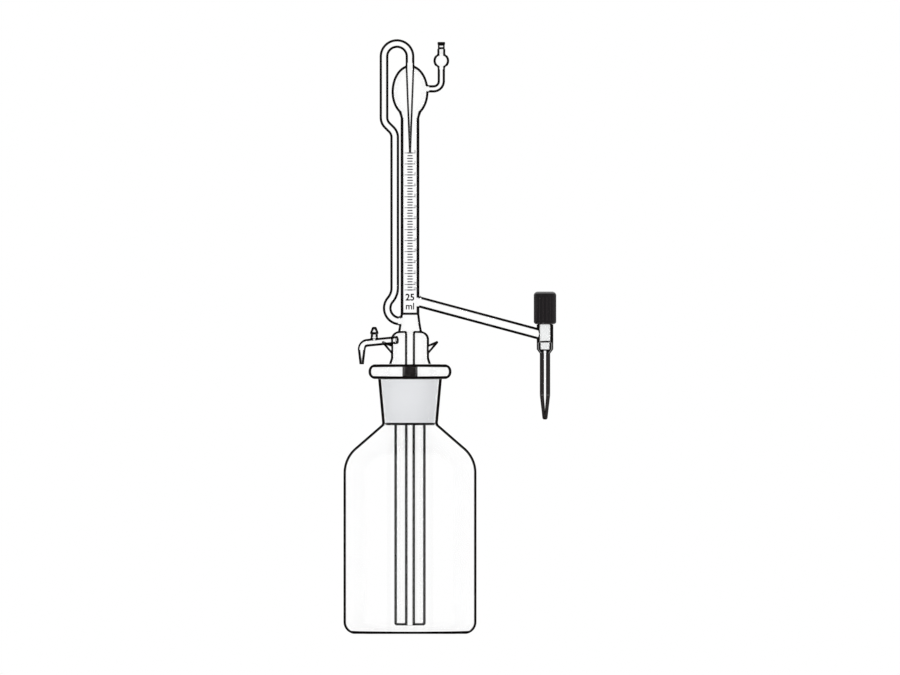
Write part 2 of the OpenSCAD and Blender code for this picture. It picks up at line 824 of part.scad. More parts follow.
module zero_bulb() {
    foot_rise = bulb_foot / 2;
    outside = concat(
        [[tube_r, z_tube_top], [tube_r, z_tube_top + foot_rise]],
        bulb_side(0)
    );
    inside = concat(
        backwards(bulb_side(bulb_wall)),
        [[tube_bore_r, z_tube_top + foot_rise], [tube_bore_r, z_tube_top]]
    );
    color("aliceblue", 0.5)
        difference() {
            rotate_extrude()
                polygon(concat(outside, inside));
            rod([0, z_bulb], [0, z_bulb_top + overrun], riser_r, riser_r);
            rod([0, z_guard], [guard_x, z_guard], guard_bore_r, guard_bore_r);
        }
}

module zero_jet() {
    color("aliceblue", 0.5)
        turned([
            [jet_bore_d / 2, z_zero, 0],
            [jet_tip_d / 2, z_zero, 0],
            [riser_r, z_jet, 0],
            [riser_bore_r, z_jet, 0]
        ]);
}

module graduated_tube() {
    color("aliceblue", 0.5)
        difference() {
            turned([
                [0, z_tube, 0],
                [tube_r, z_tube, 0],
                [tube_r, z_tube_top, 0],
                [tube_bore_r, z_tube_top, 0],
                [tube_bore_r, z_tube + tube_floor, tube_floor],
                [0, z_tube + tube_floor, 0]
            ]);
            rod([0, z_arm], arm_point(tube_d), arm_bore_r, arm_bore_r);
        }
}

function line_length(i) =
    i == line_count ? long_line :
    i % lines_per_ml > 0 ? short_line :
    (i / lines_per_ml) % 2 > 0 ? middle_line : long_line;

module graduation_scale() {
    color("#8c8f94")
        for (i = [0:line_count]) {
            span = line_length(i) / tube_r * 180 / PI;
            translate([0, 0, z_zero - i * line_pitch - line_w / 2])
                rotate([0, 0, -90 - span / 2])
                    rotate_extrude(angle = span)
                        translate([tube_r, 0])
                            square([line_t, line_w]);
        }
}

module guard_tube() {
    centre = [guard_x - guard_bend, z_guard + guard_bend];
    low = [guard_x, centre[1] - joint_lap];
    color("aliceblue", 0.5) {
        difference() {
            pipe([0, z_guard], [centre[0] + joint_lap, z_guard], guard_r, guard_bore_r);
            bulb_blank();
        }
        bent_pipe(centre, guard_bend, -90, 0, guard_r, guard_bore_r);
        difference() {
            union() {
                rod(low, [guard_x, z_ball], guard_r, guard_r);
                translate([guard_x, 0, z_ball])
                    sphere(d = guard_ball_d);
                rod([guard_x, z_ball], [guard_x, z_mouth], guard_neck_r, guard_neck_r);
            }
            rod(low - [0, overrun], [guard_x, z_ball], guard_bore_r, guard_bore_r);
            translate([guard_x, 0, z_ball])
                sphere(r = guard_ball_d / 2 - guard_wall);
            rod([guard_x, z_ball], [guard_x, z_mouth + overrun], guard_neck_bore_r, guard_neck_bore_r);
        }
    }
}

module guard_stopper() {
    spigot_r = guard_neck_bore_r - plug_gap;
    z_head = z_mouth + stopper_body_h;
    lip = stopper_head_h / 4;
    color("#eceeee")
        translate([guard_x, 0, 0])
            turned([
                [0, z_mouth - stopper_spigot_l, 0],
                [spigot_r, z_mouth - stopper_spigot_l, lip],
                [spigot_r, z_mouth, 0],
                [stopper_body_d / 2, z_mouth, 0],
                [stopper_body_d / 2, z_head, 0],
                [stopper_head_d / 2, z_head, lip],
                [stopper_head_d / 2, z_head + stopper_head_h, lip],
                [0, z_head + stopper_head_h, 0]
            ]);
}

// The point of the side arm's axis at a distance from the burette
function arm_point(x) = [x, z_arm - x * tan(arm_tilt)];

module side_arm() {
    color("aliceblue", 0.5)
        difference() {
            rod([0, z_arm], arm_point(valve_x), arm_r, arm_r);
            rod([0, z_arm], arm_point(valve_x), arm_bore_r, arm_bore_r);
            translate([0, 0, z_tube])
                cylinder(h = z_tube_top - z_tube, r = tube_r);
            at_valve()
                translate([0, 0, z_foot])
                    cylinder(h = z_shoulder - z_foot, r = barrel_r);
        }
}

module valve_barrel() {
    guide_r = spindle_r + spindle_gap;
    lip = knob_gap;
    color("aliceblue", 0.5)
        difference() {
            at_valve()
                turned([
                    [tip_bore_d / 2, z_tip_top, 0],
                    [tip_r, z_tip_top, 0],
                    [barrel_r, z_foot, barrel_taper_h / 3],
                    [barrel_r, z_shoulder, lip],
                    [barrel_neck_d / 2, z_shoulder, 0],
                    [barrel_neck_d / 2, z_barrel_top, lip],
                    [guide_r, z_barrel_top, lip],
                    [guide_r, z_barrel_top - guide_l, 0],
                    [barrel_bore_r, z_barrel_top - guide_l, 0],
                    [barrel_bore_r, z_seat, 0],
                    [seat_r, z_seat, 0],
                    [seat_r, z_foot, 0],
                    [tip_bore_d / 2, z_foot - seat_cone_h, 0]
                ]);
            rod(arm_point(valve_x - barrel_d), arm_point(valve_x), arm_bore_r, arm_bore_r);
        }
}

// The spindle's groove for a ring, with clearance all round the ring
module groove(axis_r, z, r) {
    cut_r = r + spindle_gap;
    translate([0, 0, z - cut_r])
        difference() {
            cylinder(h = 2 * cut_r, r = axis_r + cut_r + overrun);
            translate([0, 0, -overrun])
                cylinder(h = 2 * cut_r + 2 * overrun, r = axis_r - cut_r);
        }
}

module valve_spindle() {
    z_body = z_seat_ring;
    color("#e5e8e8")
        at_valve()
            difference() {
                turned([
                    [0, z_plug, 0],
                    [plug_r, z_plug, spindle_gap],
                    [plug_r, z_body, 0],
                    [spindle_r, z_body, 0],
                    [spindle_r, z_spindle_top, spindle_gap],
                    [0, z_spindle_top, 0]
                ]);
                groove(seat_ring_axis, z_seat_ring, seat_ring_r);
                groove(neck_ring_axis, z_neck_ring, neck_ring_r);
            }
}

module spindle_seals() {
    color("#231f20")
        at_valve() {
            ring(seat_ring_axis, z_seat_ring, seat_ring_r);
            ring(neck_ring_axis, z_neck_ring, neck_ring_r);
        }
}

module valve_knob() {
    pocket_r = barrel_neck_d / 2 + knob_gap;
    z_pocket = z_barrel_top + knob_gap;
    flute_axis = knob_r + flute_r - flute_depth;
    color("#231f20")
        at_valve()
            difference() {
                turned([
                    [pocket_r, z_knob, 0],
                    [knob_r, z_knob, knob_foot_round],
                    [knob_r, z_knob_top, knob_round],
                    [0, z_knob_top, 0],
                    [0, z_spindle_top, 0],
                    [spindle_r, z_spindle_top, 0],
                    [spindle_r, z_pocket, 0],
                    [pocket_r, z_pocket, 0]
                ]);
                for (i = [0:knob_flutes - 1])
                    rotate([0, 0, i * 360 / knob_flutes])
                        translate([flute_axis, 0, z_knob + knob_round])
                            cylinder(h = knob_h, r = flute_r);
            }
}

module delivery_tip() {
    lip = tip_end_d / 6;
    color("#3a3a3c", 0.8)
        at_valve()
            turned([
                [tip_bore_d / 2, z_tip_top, 0],
                [tip_bore_d / 2, z_taper, 0],
                [tip_end_bore_d / 2, z_tip, 0],
                [tip_end_d / 2, z_tip, lip],
                [tip_r, z_taper, 0],
                [tip_r, z_tip_top, 0]
            ]);
}

reservoir_bottle();
rubber_sleeve();
drop_tube();
drop_jacket();
ground_cone();
bell();
retaining_hooks();
air_inlet_tube();
vent_cap();
neck_chamber();
feed_tube();
riser_tube();
zero_bulb();
zero_jet();
graduated_tube();
graduation_scale();
guard_tube();
guard_stopper();
side_arm();
valve_barrel();
valve_spindle();
spindle_seals();
valve_knob();
delivery_tip();
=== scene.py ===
import math
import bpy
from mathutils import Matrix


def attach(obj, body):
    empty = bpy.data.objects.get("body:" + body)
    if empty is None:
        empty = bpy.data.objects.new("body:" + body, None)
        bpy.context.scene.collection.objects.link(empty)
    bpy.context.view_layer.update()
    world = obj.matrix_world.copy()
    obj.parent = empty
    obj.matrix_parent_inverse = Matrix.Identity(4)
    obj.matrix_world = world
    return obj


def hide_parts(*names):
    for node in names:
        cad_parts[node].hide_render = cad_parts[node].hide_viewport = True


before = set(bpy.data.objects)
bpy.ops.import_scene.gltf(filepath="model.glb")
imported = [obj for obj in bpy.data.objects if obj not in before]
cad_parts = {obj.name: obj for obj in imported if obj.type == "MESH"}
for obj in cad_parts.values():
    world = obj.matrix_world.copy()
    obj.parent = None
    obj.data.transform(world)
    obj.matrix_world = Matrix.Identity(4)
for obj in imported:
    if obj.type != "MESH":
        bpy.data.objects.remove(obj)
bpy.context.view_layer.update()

from types import SimpleNamespace

import bmesh
import bpy
from mathutils import Matrix, Vector

bl_info = {
    "name": "Automatic zero burette",
    "version": (1, 0, 0),
    "blender": (4, 5, 0),
    "location": "3D View > Sidebar > Burette",
    "description": "Dresses the packed frame of a zero burette in glass, rubber and plastic",
    "category": "Object",
}

MM = 0.001
TINY = 1e-7
ROUND_STEPS = 8
OVAL_STEPS = 24
WIDE_SIDES = 128
TUBE_SIDES = 64
OVERRUN = 1 * MM
WHITE = (1, 1, 1, 1)
# Half the width over which an edge line fades, as a cosine
SOFT = 0.03
# Least square of a normal's level part, which keeps a division away from nought
LEAST_FLAT = 0.0001
# Upward parts of a normal between which level glass loses its edge line
NEARLY_LEVEL, LEVEL = 0.98, 0.995
# Share of a rim's radius that its edge line may take, and the fade into that line
RIM_SHARE, RIM_FADE = 0.85, 0.08
# Shares of the edge line that the tube's seal reaches down and up
SEAL_DOWN, SEAL_UP = 0.4, 0.6
# Share of the bottle rim's height that rounds its edges
RIM_ROUND = 0.47
# Upward parts of a normal between which a painted highlight lies on the knob's rounded top edge
HIGHLIGHT_FROM, HIGHLIGHT_TO = 0.59, 0.85


# Settings: the sizes and colours that a user would change


def length(name, description, mm):
    return bpy.props.FloatProperty(
        name=name, description=description, default=mm * MM, min=0,
        unit="LENGTH", subtype="DISTANCE", precision=5)


def angle(name, description, degrees):
    return bpy.props.FloatProperty(
        name=name, description=description, default=math.radians(degrees),
        unit="ROTATION", subtype="ANGLE")


def share(name, description, value):
    return bpy.props.FloatProperty(
        name=name, description=description, default=value, min=0, max=1, subtype="FACTOR")


def number(name, description, value):
    return bpy.props.FloatProperty(name=name, description=description, default=value)


def count(name, description, value):
    return bpy.props.IntProperty(name=name, description=description, default=value, min=1)


def colour(name, description, rgb):
    return bpy.props.FloatVectorProperty(
        name=name, description=description, default=rgb, size=3, min=0, max=1, subtype="COLOR")


class BURETTE_PG_bottle(bpy.types.PropertyGroup):
    radius: length("Radius", "Outside radius of the bottle's body", 66.5)
    wall: length("Wall", "Wall of the blown body", 3)
    body_height: length("Body height", "Height of the corner between wall and shoulder", 176.3)
    slope: angle("Shoulder slope", "Rise of the shoulder over the horizontal", 41)
    shoulder_round: length("Shoulder round", "Radius that turns the wall into the shoulder", 33)
    foot_round: length("Foot round", "Radius of the bottom edge", 12)
    rest_radius: length("Resting ring", "Inner radius of the ring that the bottle rests on", 46)
    push_up: length("Push-up", "Height of the bottom over the resting ring", 2.5)
    base: length("Base", "Thickness of the bottom", 4)
    neck_low: length("Neck foot", "Outside radius of the neck at its foot", 27.8)
    neck_high: length("Neck top", "Outside radius of the neck under the rim", 31.9)
    neck_height: length("Neck height", "Height of the neck from foot to rim", 45)
    neck_wall: length("Neck wall", "Wall of the neck to its ground bore", 3)
    rim_radius: length("Rim radius", "Outside radius of the rounded rim", 41.5)
    rim_height: length("Rim height", "Height of the rounded rim", 14.8)
    edge_round: length("Edge round", "Small radius at the bottle's edges", 0.5)


class BURETTE_PG_bell(bpy.types.PropertyGroup):
    cone_wall: length("Cone wall", "Wall of the ground cone", 2)
    cone_stand: length("Cone stand", "Height of the cone's top over the rim", 0.3)
    ground_gap: length("Ground gap", "Radial clearance of the ground joint", 0.1)
    radius: length("Bell radius", "Outside radius of the bell", 19.1)
    foot_radius: length("Bell foot", "Outside radius of the bell's flared foot", 21)
    foot_height: length("Foot height", "Height over which the foot flares", 6)
    height: length("Bell height", "Height of the bell", 33)
    wall: length("Bell wall", "Wall of the bell", 1.8)
    ceiling: length("Ceiling", "Thickness of the glass between the bell and the chamber", 0.9)
    shoulder_round: length("Bell shoulder", "Radius of the bell's shoulder", 8)
    shoulder_fall: length("Shoulder fall", "Fall of the bell's shoulder to its wall", 3.2)
    horn_root: length("Horn root", "Radius of a horn where it leaves the bell", 4.5)
    horn_tip: length("Horn tip", "Radius of a horn at its tip", 1.35)
    horn_depth: length("Horn depth", "Depth of a horn's foot inside the bell's outline", 3.5)
    horn_reach: length("Horn reach", "Distance that a horn reaches out", 7.8)
    horn_climb: length("Horn climb", "Distance that a horn climbs", 8.3)
    horn_height: length("Horn height", "Height of a horn's root over the bell's foot", 13.3)


class BURETTE_PG_inlet(bpy.types.PropertyGroup):
    turn: angle("Turn", "Turn of the inlet from the side opposite the valve", 25)
    tilt: angle("Fall", "Fall of the inlet tube", 5)
    radius: length("Radius", "Outside radius of the inlet tube", 3.9)
    wall: length("Wall", "Wall of the inlet tube", 1.2)
    drop: length("Drop", "Depth of the inlet's axis below the bell's top", 9.4)
    start: length("Start", "Distance of its inner end from the bell's axis", 12.2)
    trim: length("Trim", "Length by which its inner end is ground back", 2.1)
    # the lip's darkness is painted shade
    lip: length("Lip", "Length of its dark ground end", 4.2)
    nozzle_reach: length("Nozzle reach", "Distance of the nozzle from the bell's axis", 53.3)
    bend: length("Bend", "Radius of the bend over the nozzle", 6.5)
    nozzle_length: length("Nozzle length", "Length of the hose nozzle", 15)
    nozzle_end: length("Nozzle end", "Radius of the nozzle's end", 2.2)
    nozzle_bore: length("Nozzle bore", "Bore radius at the nozzle's end", 0.8)
    vent_reach: length("Vent reach", "Distance of the vent stub from the bell's axis", 39.4)
    vent_radius: length("Vent radius", "Outside radius of the vent stub", 3.6)
    vent_height: length("Vent height", "Height of the stub's rim over the inlet's axis", 8.2)
    cap_radius: length("Cap radius", "Outside radius of the vent cap", 4.2)
    cap_height: length("Cap height", "Height of the vent cap over the stub", 7.1)
    plug_gap: length("Plug gap", "Clearance of the cap and the stopper in their mouths", 0.15)


class BURETTE_PG_feed(bpy.types.PropertyGroup):
    radius: length("Radius", "Outside radius of the feed and drop tubes", 5.1)
    wall: length("Wall", "Wall of the feed and drop tubes", 1.4)
    sleeve_radius: length("Sleeve radius", "Outside radius of the rubber sleeve", 7.6)
    sleeve_length: length("Sleeve length", "Length of the rubber sleeve", 11.5)
    sleeve_drop: length("Sleeve drop", "Depth of the sleeve's top below the rim", 0.8)
    sleeve_gap: length("Sleeve gap", "Clearance of the sleeve on the tubes", 0.05)
    butt_gap: length("Butt gap", "Gap between the two tubes inside the sleeve", 0.4)
    drop_rest: length("Drop rest", "Height of the drop tube over the bottle's floor", 2)
    jacket_radius: length("Jacket radius", "Outside radius of the jacket", 15.7)
    jacket_wall: length("Jacket wall", "Wall of the jacket", 1.5)
    jacket_rise: length("Jacket rise", "Height of the jacket's top over the neck's foot", 30)
    jacket_round: length("Jacket round", "Radius of the jacket's sealed ends", 2.6)


class BURETTE_PG_riser(bpy.types.PropertyGroup):
    chamber_foot: length("Chamber foot", "Outside radius of the chamber's foot", 11.9)
    chamber_height: length("Chamber height", "Height of the chamber", 17)
    chamber_wall: length("Chamber wall", "Wall of the chamber", 1.4)
    waist: share("Waist", "Share of the chamber's taper that is left at half its height", 0.4)
    radius: length("Radius", "Outside radius of the riser", 4.4)
    wall: length("Wall", "Wall of the riser", 1.4)
    reach: length("Reach", "Distance of the riser from the axis beside the scale", 15.3)
    high_reach: length("High reach", "Distance of the riser from the axis beside the bulb", 26)
    low_reach: length("Low reach", "Reach of the bottom bend", 22.8)
    low_bend: length("Bottom bend", "Radius of the bottom bend", 12.8)
    turn_bend: length("Turn bend", "Radius of the bend into the straight riser", 18)
    entry: length("Entry", "Depth of the riser's entry below the chamber's top", 7)
    jog_bend: length("Jog bend", "Radius of the two bends under the bulb", 11)
    jog_tilt: angle("Jog tilt", "Slant of the run under the bulb", 45)
    jog_drop: length("Jog drop", "Depth of the slant's middle below the tube's top", 9.5)
    crown_rise: length("Crown rise", "Height of the U-bend's centre over the bulb's middle", 35.4)


class BURETTE_PG_tube(bpy.types.PropertyGroup):
    radius: length("Radius", "Outside radius of the graduated tube", 9.4)
    bore: length("Bore", "Bore radius of the graduated tube", 7.62)
    scale_length: length("Scale length", "Length of the scale", 137)
    scale_foot: length("Scale foot", "Height of the last line over the tube's bottom", 24)
    head: length("Head", "Length of the tube over the zero line", 35)
    floor: length("Floor", "Thickness of the tube's closed bottom", 1.6)
    capacity: count("Capacity", "Full volume of the scale in millilitres", 25)
    lines_per_ml: count("Lines per ml", "Lines for each millilitre", 2)
    long_line: length("Long line", "Length of the lines at even millilitres", 11.6)
    middle_line: length("Middle line", "Length of the lines at odd millilitres", 6.5)
    short_line: length("Short line", "Length of the lines at half millilitres", 5)
    line_width: length("Line width", "Width of a line", 0.7)
    line_depth: length("Line depth", "Thickness of the enamel", 0.12)
    bold: number("Bold", "Width of the short lines over that of the others", 1.8)
    figure_height: length("Figure height", "Height of the scale's figures", 2.4)
    unit_height: length("Unit height", "Height of the volume and unit under the scale", 6.6)


class BURETTE_PG_bulb(bpy.types.PropertyGroup):
    radius: length("Radius", "Outside radius of the zero bulb", 18.5)
    wall: length("Wall", "Wall of the zero bulb", 1.4)
    middle: length("Middle", "Height of its widest place over the graduated tube", 26)
    up: length("Up", "Height of the oval over its widest place", 27)
    low: length("Low", "Depth of the oval under its widest place", 25.5)
    foot: length("Foot", "Width of the fillet at the bulb's foot", 1.8)
    fillet: length("Fillet", "Radius where glass tubes are fused together", 1.6)
    jet_tip: length("Jet tip", "Radius of the jet's tip", 1.1)
    jet_bore: length("Jet bore", "Bore radius at the jet's tip", 0.35)


class BURETTE_PG_guard(bpy.types.PropertyGroup):
    radius: length("Radius", "Outside radius of the guard tube", 3.7)
    wall: length("Wall", "Wall of the guard tube", 1.2)
    root: length("Root", "Height of its root over the bulb's middle", 3.1)
    upright: length("Upright", "Distance of its upright from the axis", 31.3)
    bend: length("Bend", "Radius of its bend", 7.75)
    ball: length("Ball", "Radius of its ball", 7.9)
    ball_height: length("Ball height", "Height of the ball's middle over the bulb's middle", 31.2)
    neck: length("Neck", "Outside radius of its neck", 4.0)
    neck_bore: length("Neck bore", "Bore radius of its neck", 2.6)
    mouth: length("Mouth", "Height of its mouth over the ball's middle", 11.8)
    stopper_body: length("Stopper body", "Radius of the stopper's body", 3.4)
    stopper_body_height: length("Body height", "Height of the stopper's body", 4)
    stopper_head: length("Stopper head", "Radius of the stopper's head", 3.8)
    stopper_head_height: length("Head height", "Height of the stopper's head", 3)
    stopper_spigot: length("Spigot", "Length of the stopper's spigot in the mouth", 5)


class BURETTE_PG_valve(bpy.types.PropertyGroup):
    arm_radius: length("Arm radius", "Outside radius of the side arm", 5.6)
    arm_wall: length("Arm wall", "Wall of the side arm", 1.6)
    arm_tilt: angle("Arm fall", "Fall of the side arm", 15)
    arm_rise: length("Arm rise", "Height of its root over the tube's bottom", 14.5)
    reach: length("Reach", "Distance of the valve from the burette's axis", 135)
    barrel: length("Barrel", "Outside radius of the barrel", 8.3)
    up: length("Up", "Height of the barrel's shoulder over the arm's axis", 11.2)
    down: length("Down", "Depth of the barrel's foot below the arm's axis", 13.7)
    taper: length("Taper", "Height of the taper to the delivery tip", 4.2)
    bore: length("Bore", "Bore radius round the spindle", 5.9)
    neck: length("Neck", "Outside radius of the neck inside the knob", 7.3)
    neck_height: length("Neck height", "Height of the neck inside the knob", 18)
    guide: length("Guide", "Length of the guide at the neck's top", 8)
    seat_drop: length("Seat drop", "Depth of the seat's edge below the arm's axis", 7)
    seat_bore: length("Seat bore", "Bore radius of the seat", 4.4)
    seat_cone: length("Seat cone", "Height of the cone under the seat", 2.2)
    spindle: length("Spindle", "Radius of the spindle", 5.1)
    plug: length("Plug", "Radius of the spindle's plug", 4.1)
    gap: length("Gap", "Clearance of the spindle", 0.1)
    knob: length("Knob", "Radius of the knob", 11.3)
    knob_height: length("Knob height", "Height of the knob", 32.5)
    knob_round: length("Knob round", "Radius of the knob's top edge", 4)
    knob_foot_round: length("Knob foot", "Radius of the knob's bottom edge", 2.6)
    knob_gap: length("Knob gap", "Clearance between the knob and the barrel", 0.3)
    knob_cap: length("Knob cap", "Thickness of the knob's top", 4)
    flutes: count("Flutes", "Flutes round the knob", 18)
    flute_depth: length("Flute depth", "Depth of a flute", 0.7)
    tip: length("Tip", "Outside radius of the delivery tip", 5.2)
    tip_straight: length("Tip straight", "Length of the tip's straight part", 41.5)
    tip_taper: length("Tip taper", "Length of the tip's tapered part", 24.5)
    tip_end: length("Tip end", "Outside radius of the outlet", 2.4)
    tip_bore: length("Tip bore", "Bore radius of the tip", 1.15)
    tip_end_bore: length("Outlet bore", "Bore radius of the outlet", 0.5)


class BURETTE_PG_looks(bpy.types.PropertyGroup):
    tint: colour("Glass", "Tint of the clear glass", (0.985, 0.995, 0.995))
    clarity: share("Glass body", "Share of the light that the glass bends or mirrors", 0.03)
    ior: number("Refraction", "Index of refraction of the glass", 1.47)
    # painted shade: the edge colour, and the widths and the joint foot's height below, are those
    # of the dark painted on the glass where it is seen edge-on; the edge colour is also the unit's
    # print
    edge: colour("Edge", "Darkness at the edges of the glass", (0.006, 0.005, 0.005))
    line: length("Edge width", "Width of the dark edge of thin glass", 2.3)
    heavy_line: length("Heavy edge", "Width of the dark edge of thick glass", 2.8)
    rim_line: length("Rim edge", "Width of the dark edge of the bottle's rim", 2.6)
    drop_line: length("Drop line edge", "Width of the dark edges inside the bottle", 2.6)
    jet_line: length("Jet edge", "Width of the dark edge of the zero jet", 1.8)
    horn_line: length("Horn edge", "Width of the dark edge at a horn's root", 1.9)
    shoulder_line: length("Shoulder edge", "Width of the dark edge over the bell", 1.4)
    foot_line: length("Joint foot", "Height of the dark lip at the ground joint's foot", 2.4)
    frost_margin: length("Clear margin", "Width of the clear edge beside the ground zone", 0.5)
    frost: colour("Ground glass", "Colour of the ground joint", (0.79, 0.80, 0.82))
    rubber: colour("Rubber", "Colour of the black rubber", (0.017, 0.014, 0.014))
    plastic: colour("Plastic", "Colour of the knob", (0.010, 0.008, 0.009))
    spindle: colour("Spindle", "Colour of the spindle", (0.95, 0.96, 0.96))
    # painted highlight: the lighter colour painted down in the knob's flutes
    flute: colour("Flutes", "Colour down in the knob's flutes", (0.04, 0.033, 0.035))
    enamel: colour("Enamel", "Colour of the lines and figures", (0.12, 0.12, 0.13))


class BURETTE_PG_stage(bpy.types.PropertyGroup):
    floor: length("Floor radius", "Radius of the floor", 2500)
    view_width: length("View width", "Width of the camera's view", 900)
    aim_x: length("Aim across", "Middle of the view across", 40)
    aim_z: length("Aim up", "Middle of the view in height", 296.5)
    distance: length("Distance", "Distance of the camera", 3000)
    key: number("Key light", "Power of the key light in watts", 16)
    fill: number("Fill light", "Power of the fill light in watts", 7)
    sky: number("Sky", "Strength of the light from all round", 0.85)


GROUPS = {
    "bottle": BURETTE_PG_bottle, "bell": BURETTE_PG_bell, "inlet": BURETTE_PG_inlet,
    "feed": BURETTE_PG_feed, "riser": BURETTE_PG_riser, "tube": BURETTE_PG_tube,
    "bulb": BURETTE_PG_bulb, "guard": BURETTE_PG_guard, "valve": BURETTE_PG_valve,
    "looks": BURETTE_PG_looks, "stage": BURETTE_PG_stage,
}


class BURETTE_PG_settings(bpy.types.PropertyGroup):
    __annotations__ = {key: bpy.props.PointerProperty(type=group) for key, group in GROUPS.items()}


def settings():
    return bpy.context.scene.burette


def levels(s):
    """Heights and places that several pieces share, worked out from the sizes."""
    z = SimpleNamespace()
    bottle, bell, feed, riser = s.bottle, s.bell, s.feed, s.riser
    tube, bulb, guard, valve, inlet = s.tube, s.bulb, s.guard, s.valve, s.inlet
    z.neck = bottle.body_height + (bottle.radius - bottle.neck_low) * math.tan(bottle.slope)
    z.rim = z.neck + bottle.neck_height
    z.rim_top = z.rim + bottle.rim_height
    z.floor = bottle.push_up + bottle.base
    z.socket_low = bottle.neck_low - bottle.neck_wall
    z.socket_rise = (bottle.neck_high - bottle.neck_low) / bottle.neck_height
    z.cone = z.neck + bottle.edge_round
    z.cone_top = z.rim_top + bell.cone_stand
    z.bell_top = z.cone_top + bell.height
    z.tube = z.bell_top + riser.chamber_height
    z.last = z.tube + tube.scale_foot
    z.zero = z.last + tube.scale_length
    z.tube_top = z.zero + tube.head
    z.bulb = z.tube_top + bulb.middle
    z.sleeve_top = z.rim_top - feed.sleeve_drop
    z.butt = z.sleeve_top - feed.sleeve_length / 2
    z.drop = z.floor + feed.drop_rest
    z.jacket_top = z.neck + feed.jacket_rise
    z.riser = z.tube - riser.entry
    z.crown = z.bulb + riser.crown_rise
    z.hole_angle = math.acos(riser.radius / bulb.radius)
    z.bulb_top = z.bulb + bulb.up * math.sin(z.hole_angle)
    z.jet = z.bulb_top - bulb.wall
    z.guard = z.bulb + guard.root
    z.ball = z.bulb + guard.ball_height
    z.mouth = z.ball + guard.mouth
    z.arm = z.tube + valve.arm_rise
    z.valve = z.arm - valve.reach * math.tan(valve.arm_tilt)
    z.shoulder = z.valve + valve.up
    z.barrel_top = z.shoulder + valve.neck_height
    z.foot = z.valve - valve.down
    z.tip_top = z.foot - valve.taper
    z.seat = z.valve - valve.seat_drop
    z.taper = z.tip_top - valve.tip_straight
    z.tip = z.taper - valve.tip_taper
    z.knob = z.shoulder + valve.knob_gap
    z.knob_top = z.knob + valve.knob_height
    z.inlet = z.bell_top - inlet.drop + (bell.radius - inlet.start) * math.tan(inlet.tilt)
    return z


# Outlines and meshes


def around(centre, radius, start, end, steps=ROUND_STEPS):
    """Points of an arc from angle start to angle end, in radians."""
    x, z = centre
    turns = [start + (end - start) * i / steps for i in range(steps + 1)]
    return [(x + radius * math.cos(a), z + radius * math.sin(a)) for a in turns]


def rounded(corners, steps=ROUND_STEPS):
    """Points of a closed outline whose corners are (x, z, radius)."""
    points = []
    for i, (x, z, radius) in enumerate(corners):
        if not radius:
            points.append((x, z))
            continue
        p = Vector((x, z))
        before = Vector(corners[i - 1][:2])
        after = Vector(corners[(i + 1) % len(corners)][:2])
        u, v = (before - p).normalized(), (after - p).normalized()
        half = u.angle(v) / 2
        centre = p + (u + v).normalized() * (radius / math.sin(half))
        first = p + u * (radius / math.tan(half)) - centre
        start = math.atan2(first.y, first.x)
        sweep = math.copysign(math.pi - 2 * half, (p - before).cross(after - p))
        points += around(centre, radius, start, start + sweep, steps)
    return points


def oval(rx, rz, z, start, end):
    turns = [start + (end - start) * i / OVAL_STEPS for i in range(OVAL_STEPS + 1)]
    return [(rx * math.cos(a), z + rz * math.sin(a)) for a in turns]


def skin(bm, ring, after):
    """Faces between two neighbouring rings, either of which may be a single point."""
    n = max(len(ring), len(after))
    if len(ring) == len(after) == 1:
        return
    for i in range(n):
        j = (i + 1) % n
        if len(ring) == 1:
            bm.faces.new((ring[0], after[j], after[i]))
        elif len(after) == 1:
            bm.faces.new((ring[i], ring[j], after[0]))
        else:
            bm.faces.new((ring[i], ring[j], after[j], after[i]))


def turned(outline, sides=WIDE_SIDES):
    """A closed surface of revolution about Z, from an outline of (radius, height)."""
    bm = bmesh.new()
    rings = []
    for r, z in outline:
        if r < TINY:
            rings.append([bm.verts.new((0, 0, z))])
            continue
        turns = [2 * math.pi * i / sides for i in range(sides)]
        rings.append([bm.verts.new((r * math.cos(a), r * math.sin(a), z)) for a in turns])
    for i, ring in enumerate(rings):
        skin(bm, ring, rings[(i + 1) % len(rings)])
    bmesh.ops.recalc_face_normals(bm, faces=bm.faces)
    return bm


def formed(name, bm, material, place=None):
    """An object at the origin that holds the mesh, moved to its place in the mesh."""
    if place is not None:
        bm.transform(place)
    mesh = bpy.data.meshes.new(name)
    bm.to_mesh(mesh)
    bm.free()
    mesh.materials.append(material)
    obj = bpy.data.objects.new(name, mesh)
    bpy.context.scene.collection.objects.link(obj)
    return obj


def at(x, y=0, z=0):
    return Matrix.Translation((x, y, z))


def along(start, end):
    """The matrix that lays +Z from start towards end, two (x, z) points of the XZ plane."""
    dx, dz = end[0] - start[0], end[1] - start[1]
    return at(start[0], 0, start[1]) @ Matrix.Rotation(math.atan2(dx, dz), 4, "Y")


def rod(name, start, end, radius, material, turn=None):
    """A straight rod in the XZ plane, turned about Z where the piece lies in another plane."""
    run = math.dist(start, end)
    bm = turned([(0, 0), (radius, 0), (radius, run), (0, run)], TUBE_SIDES)
    place = along(start, end)
    return formed(name, bm, material, turn @ place if turn else place)


def flare(name, start, end, radius, fillet, material, turn=None):
    """The trumpet of glass that fuses a branch to its parent, from start towards end."""
    arc = around((radius + fillet, fillet), fillet, -math.pi / 2, -math.pi)
    bm = turned([(0, 0)] + arc + [(0, fillet)], TUBE_SIDES)
    place = along(start, end)
    return formed(name, bm, material, turn @ place if turn else place)


def evaluated(obj):
    """The object's mesh with its modifiers, which are then removed."""
    depsgraph = bpy.context.evaluated_depsgraph_get()
    mesh = bpy.data.meshes.new_from_object(obj.evaluated_get(depsgraph))
    obj.modifiers.clear()
    old = obj.data
    obj.data = mesh
    mesh.name = obj.name
    if old.users == 0:
        bpy.data.meshes.remove(old)
    return obj


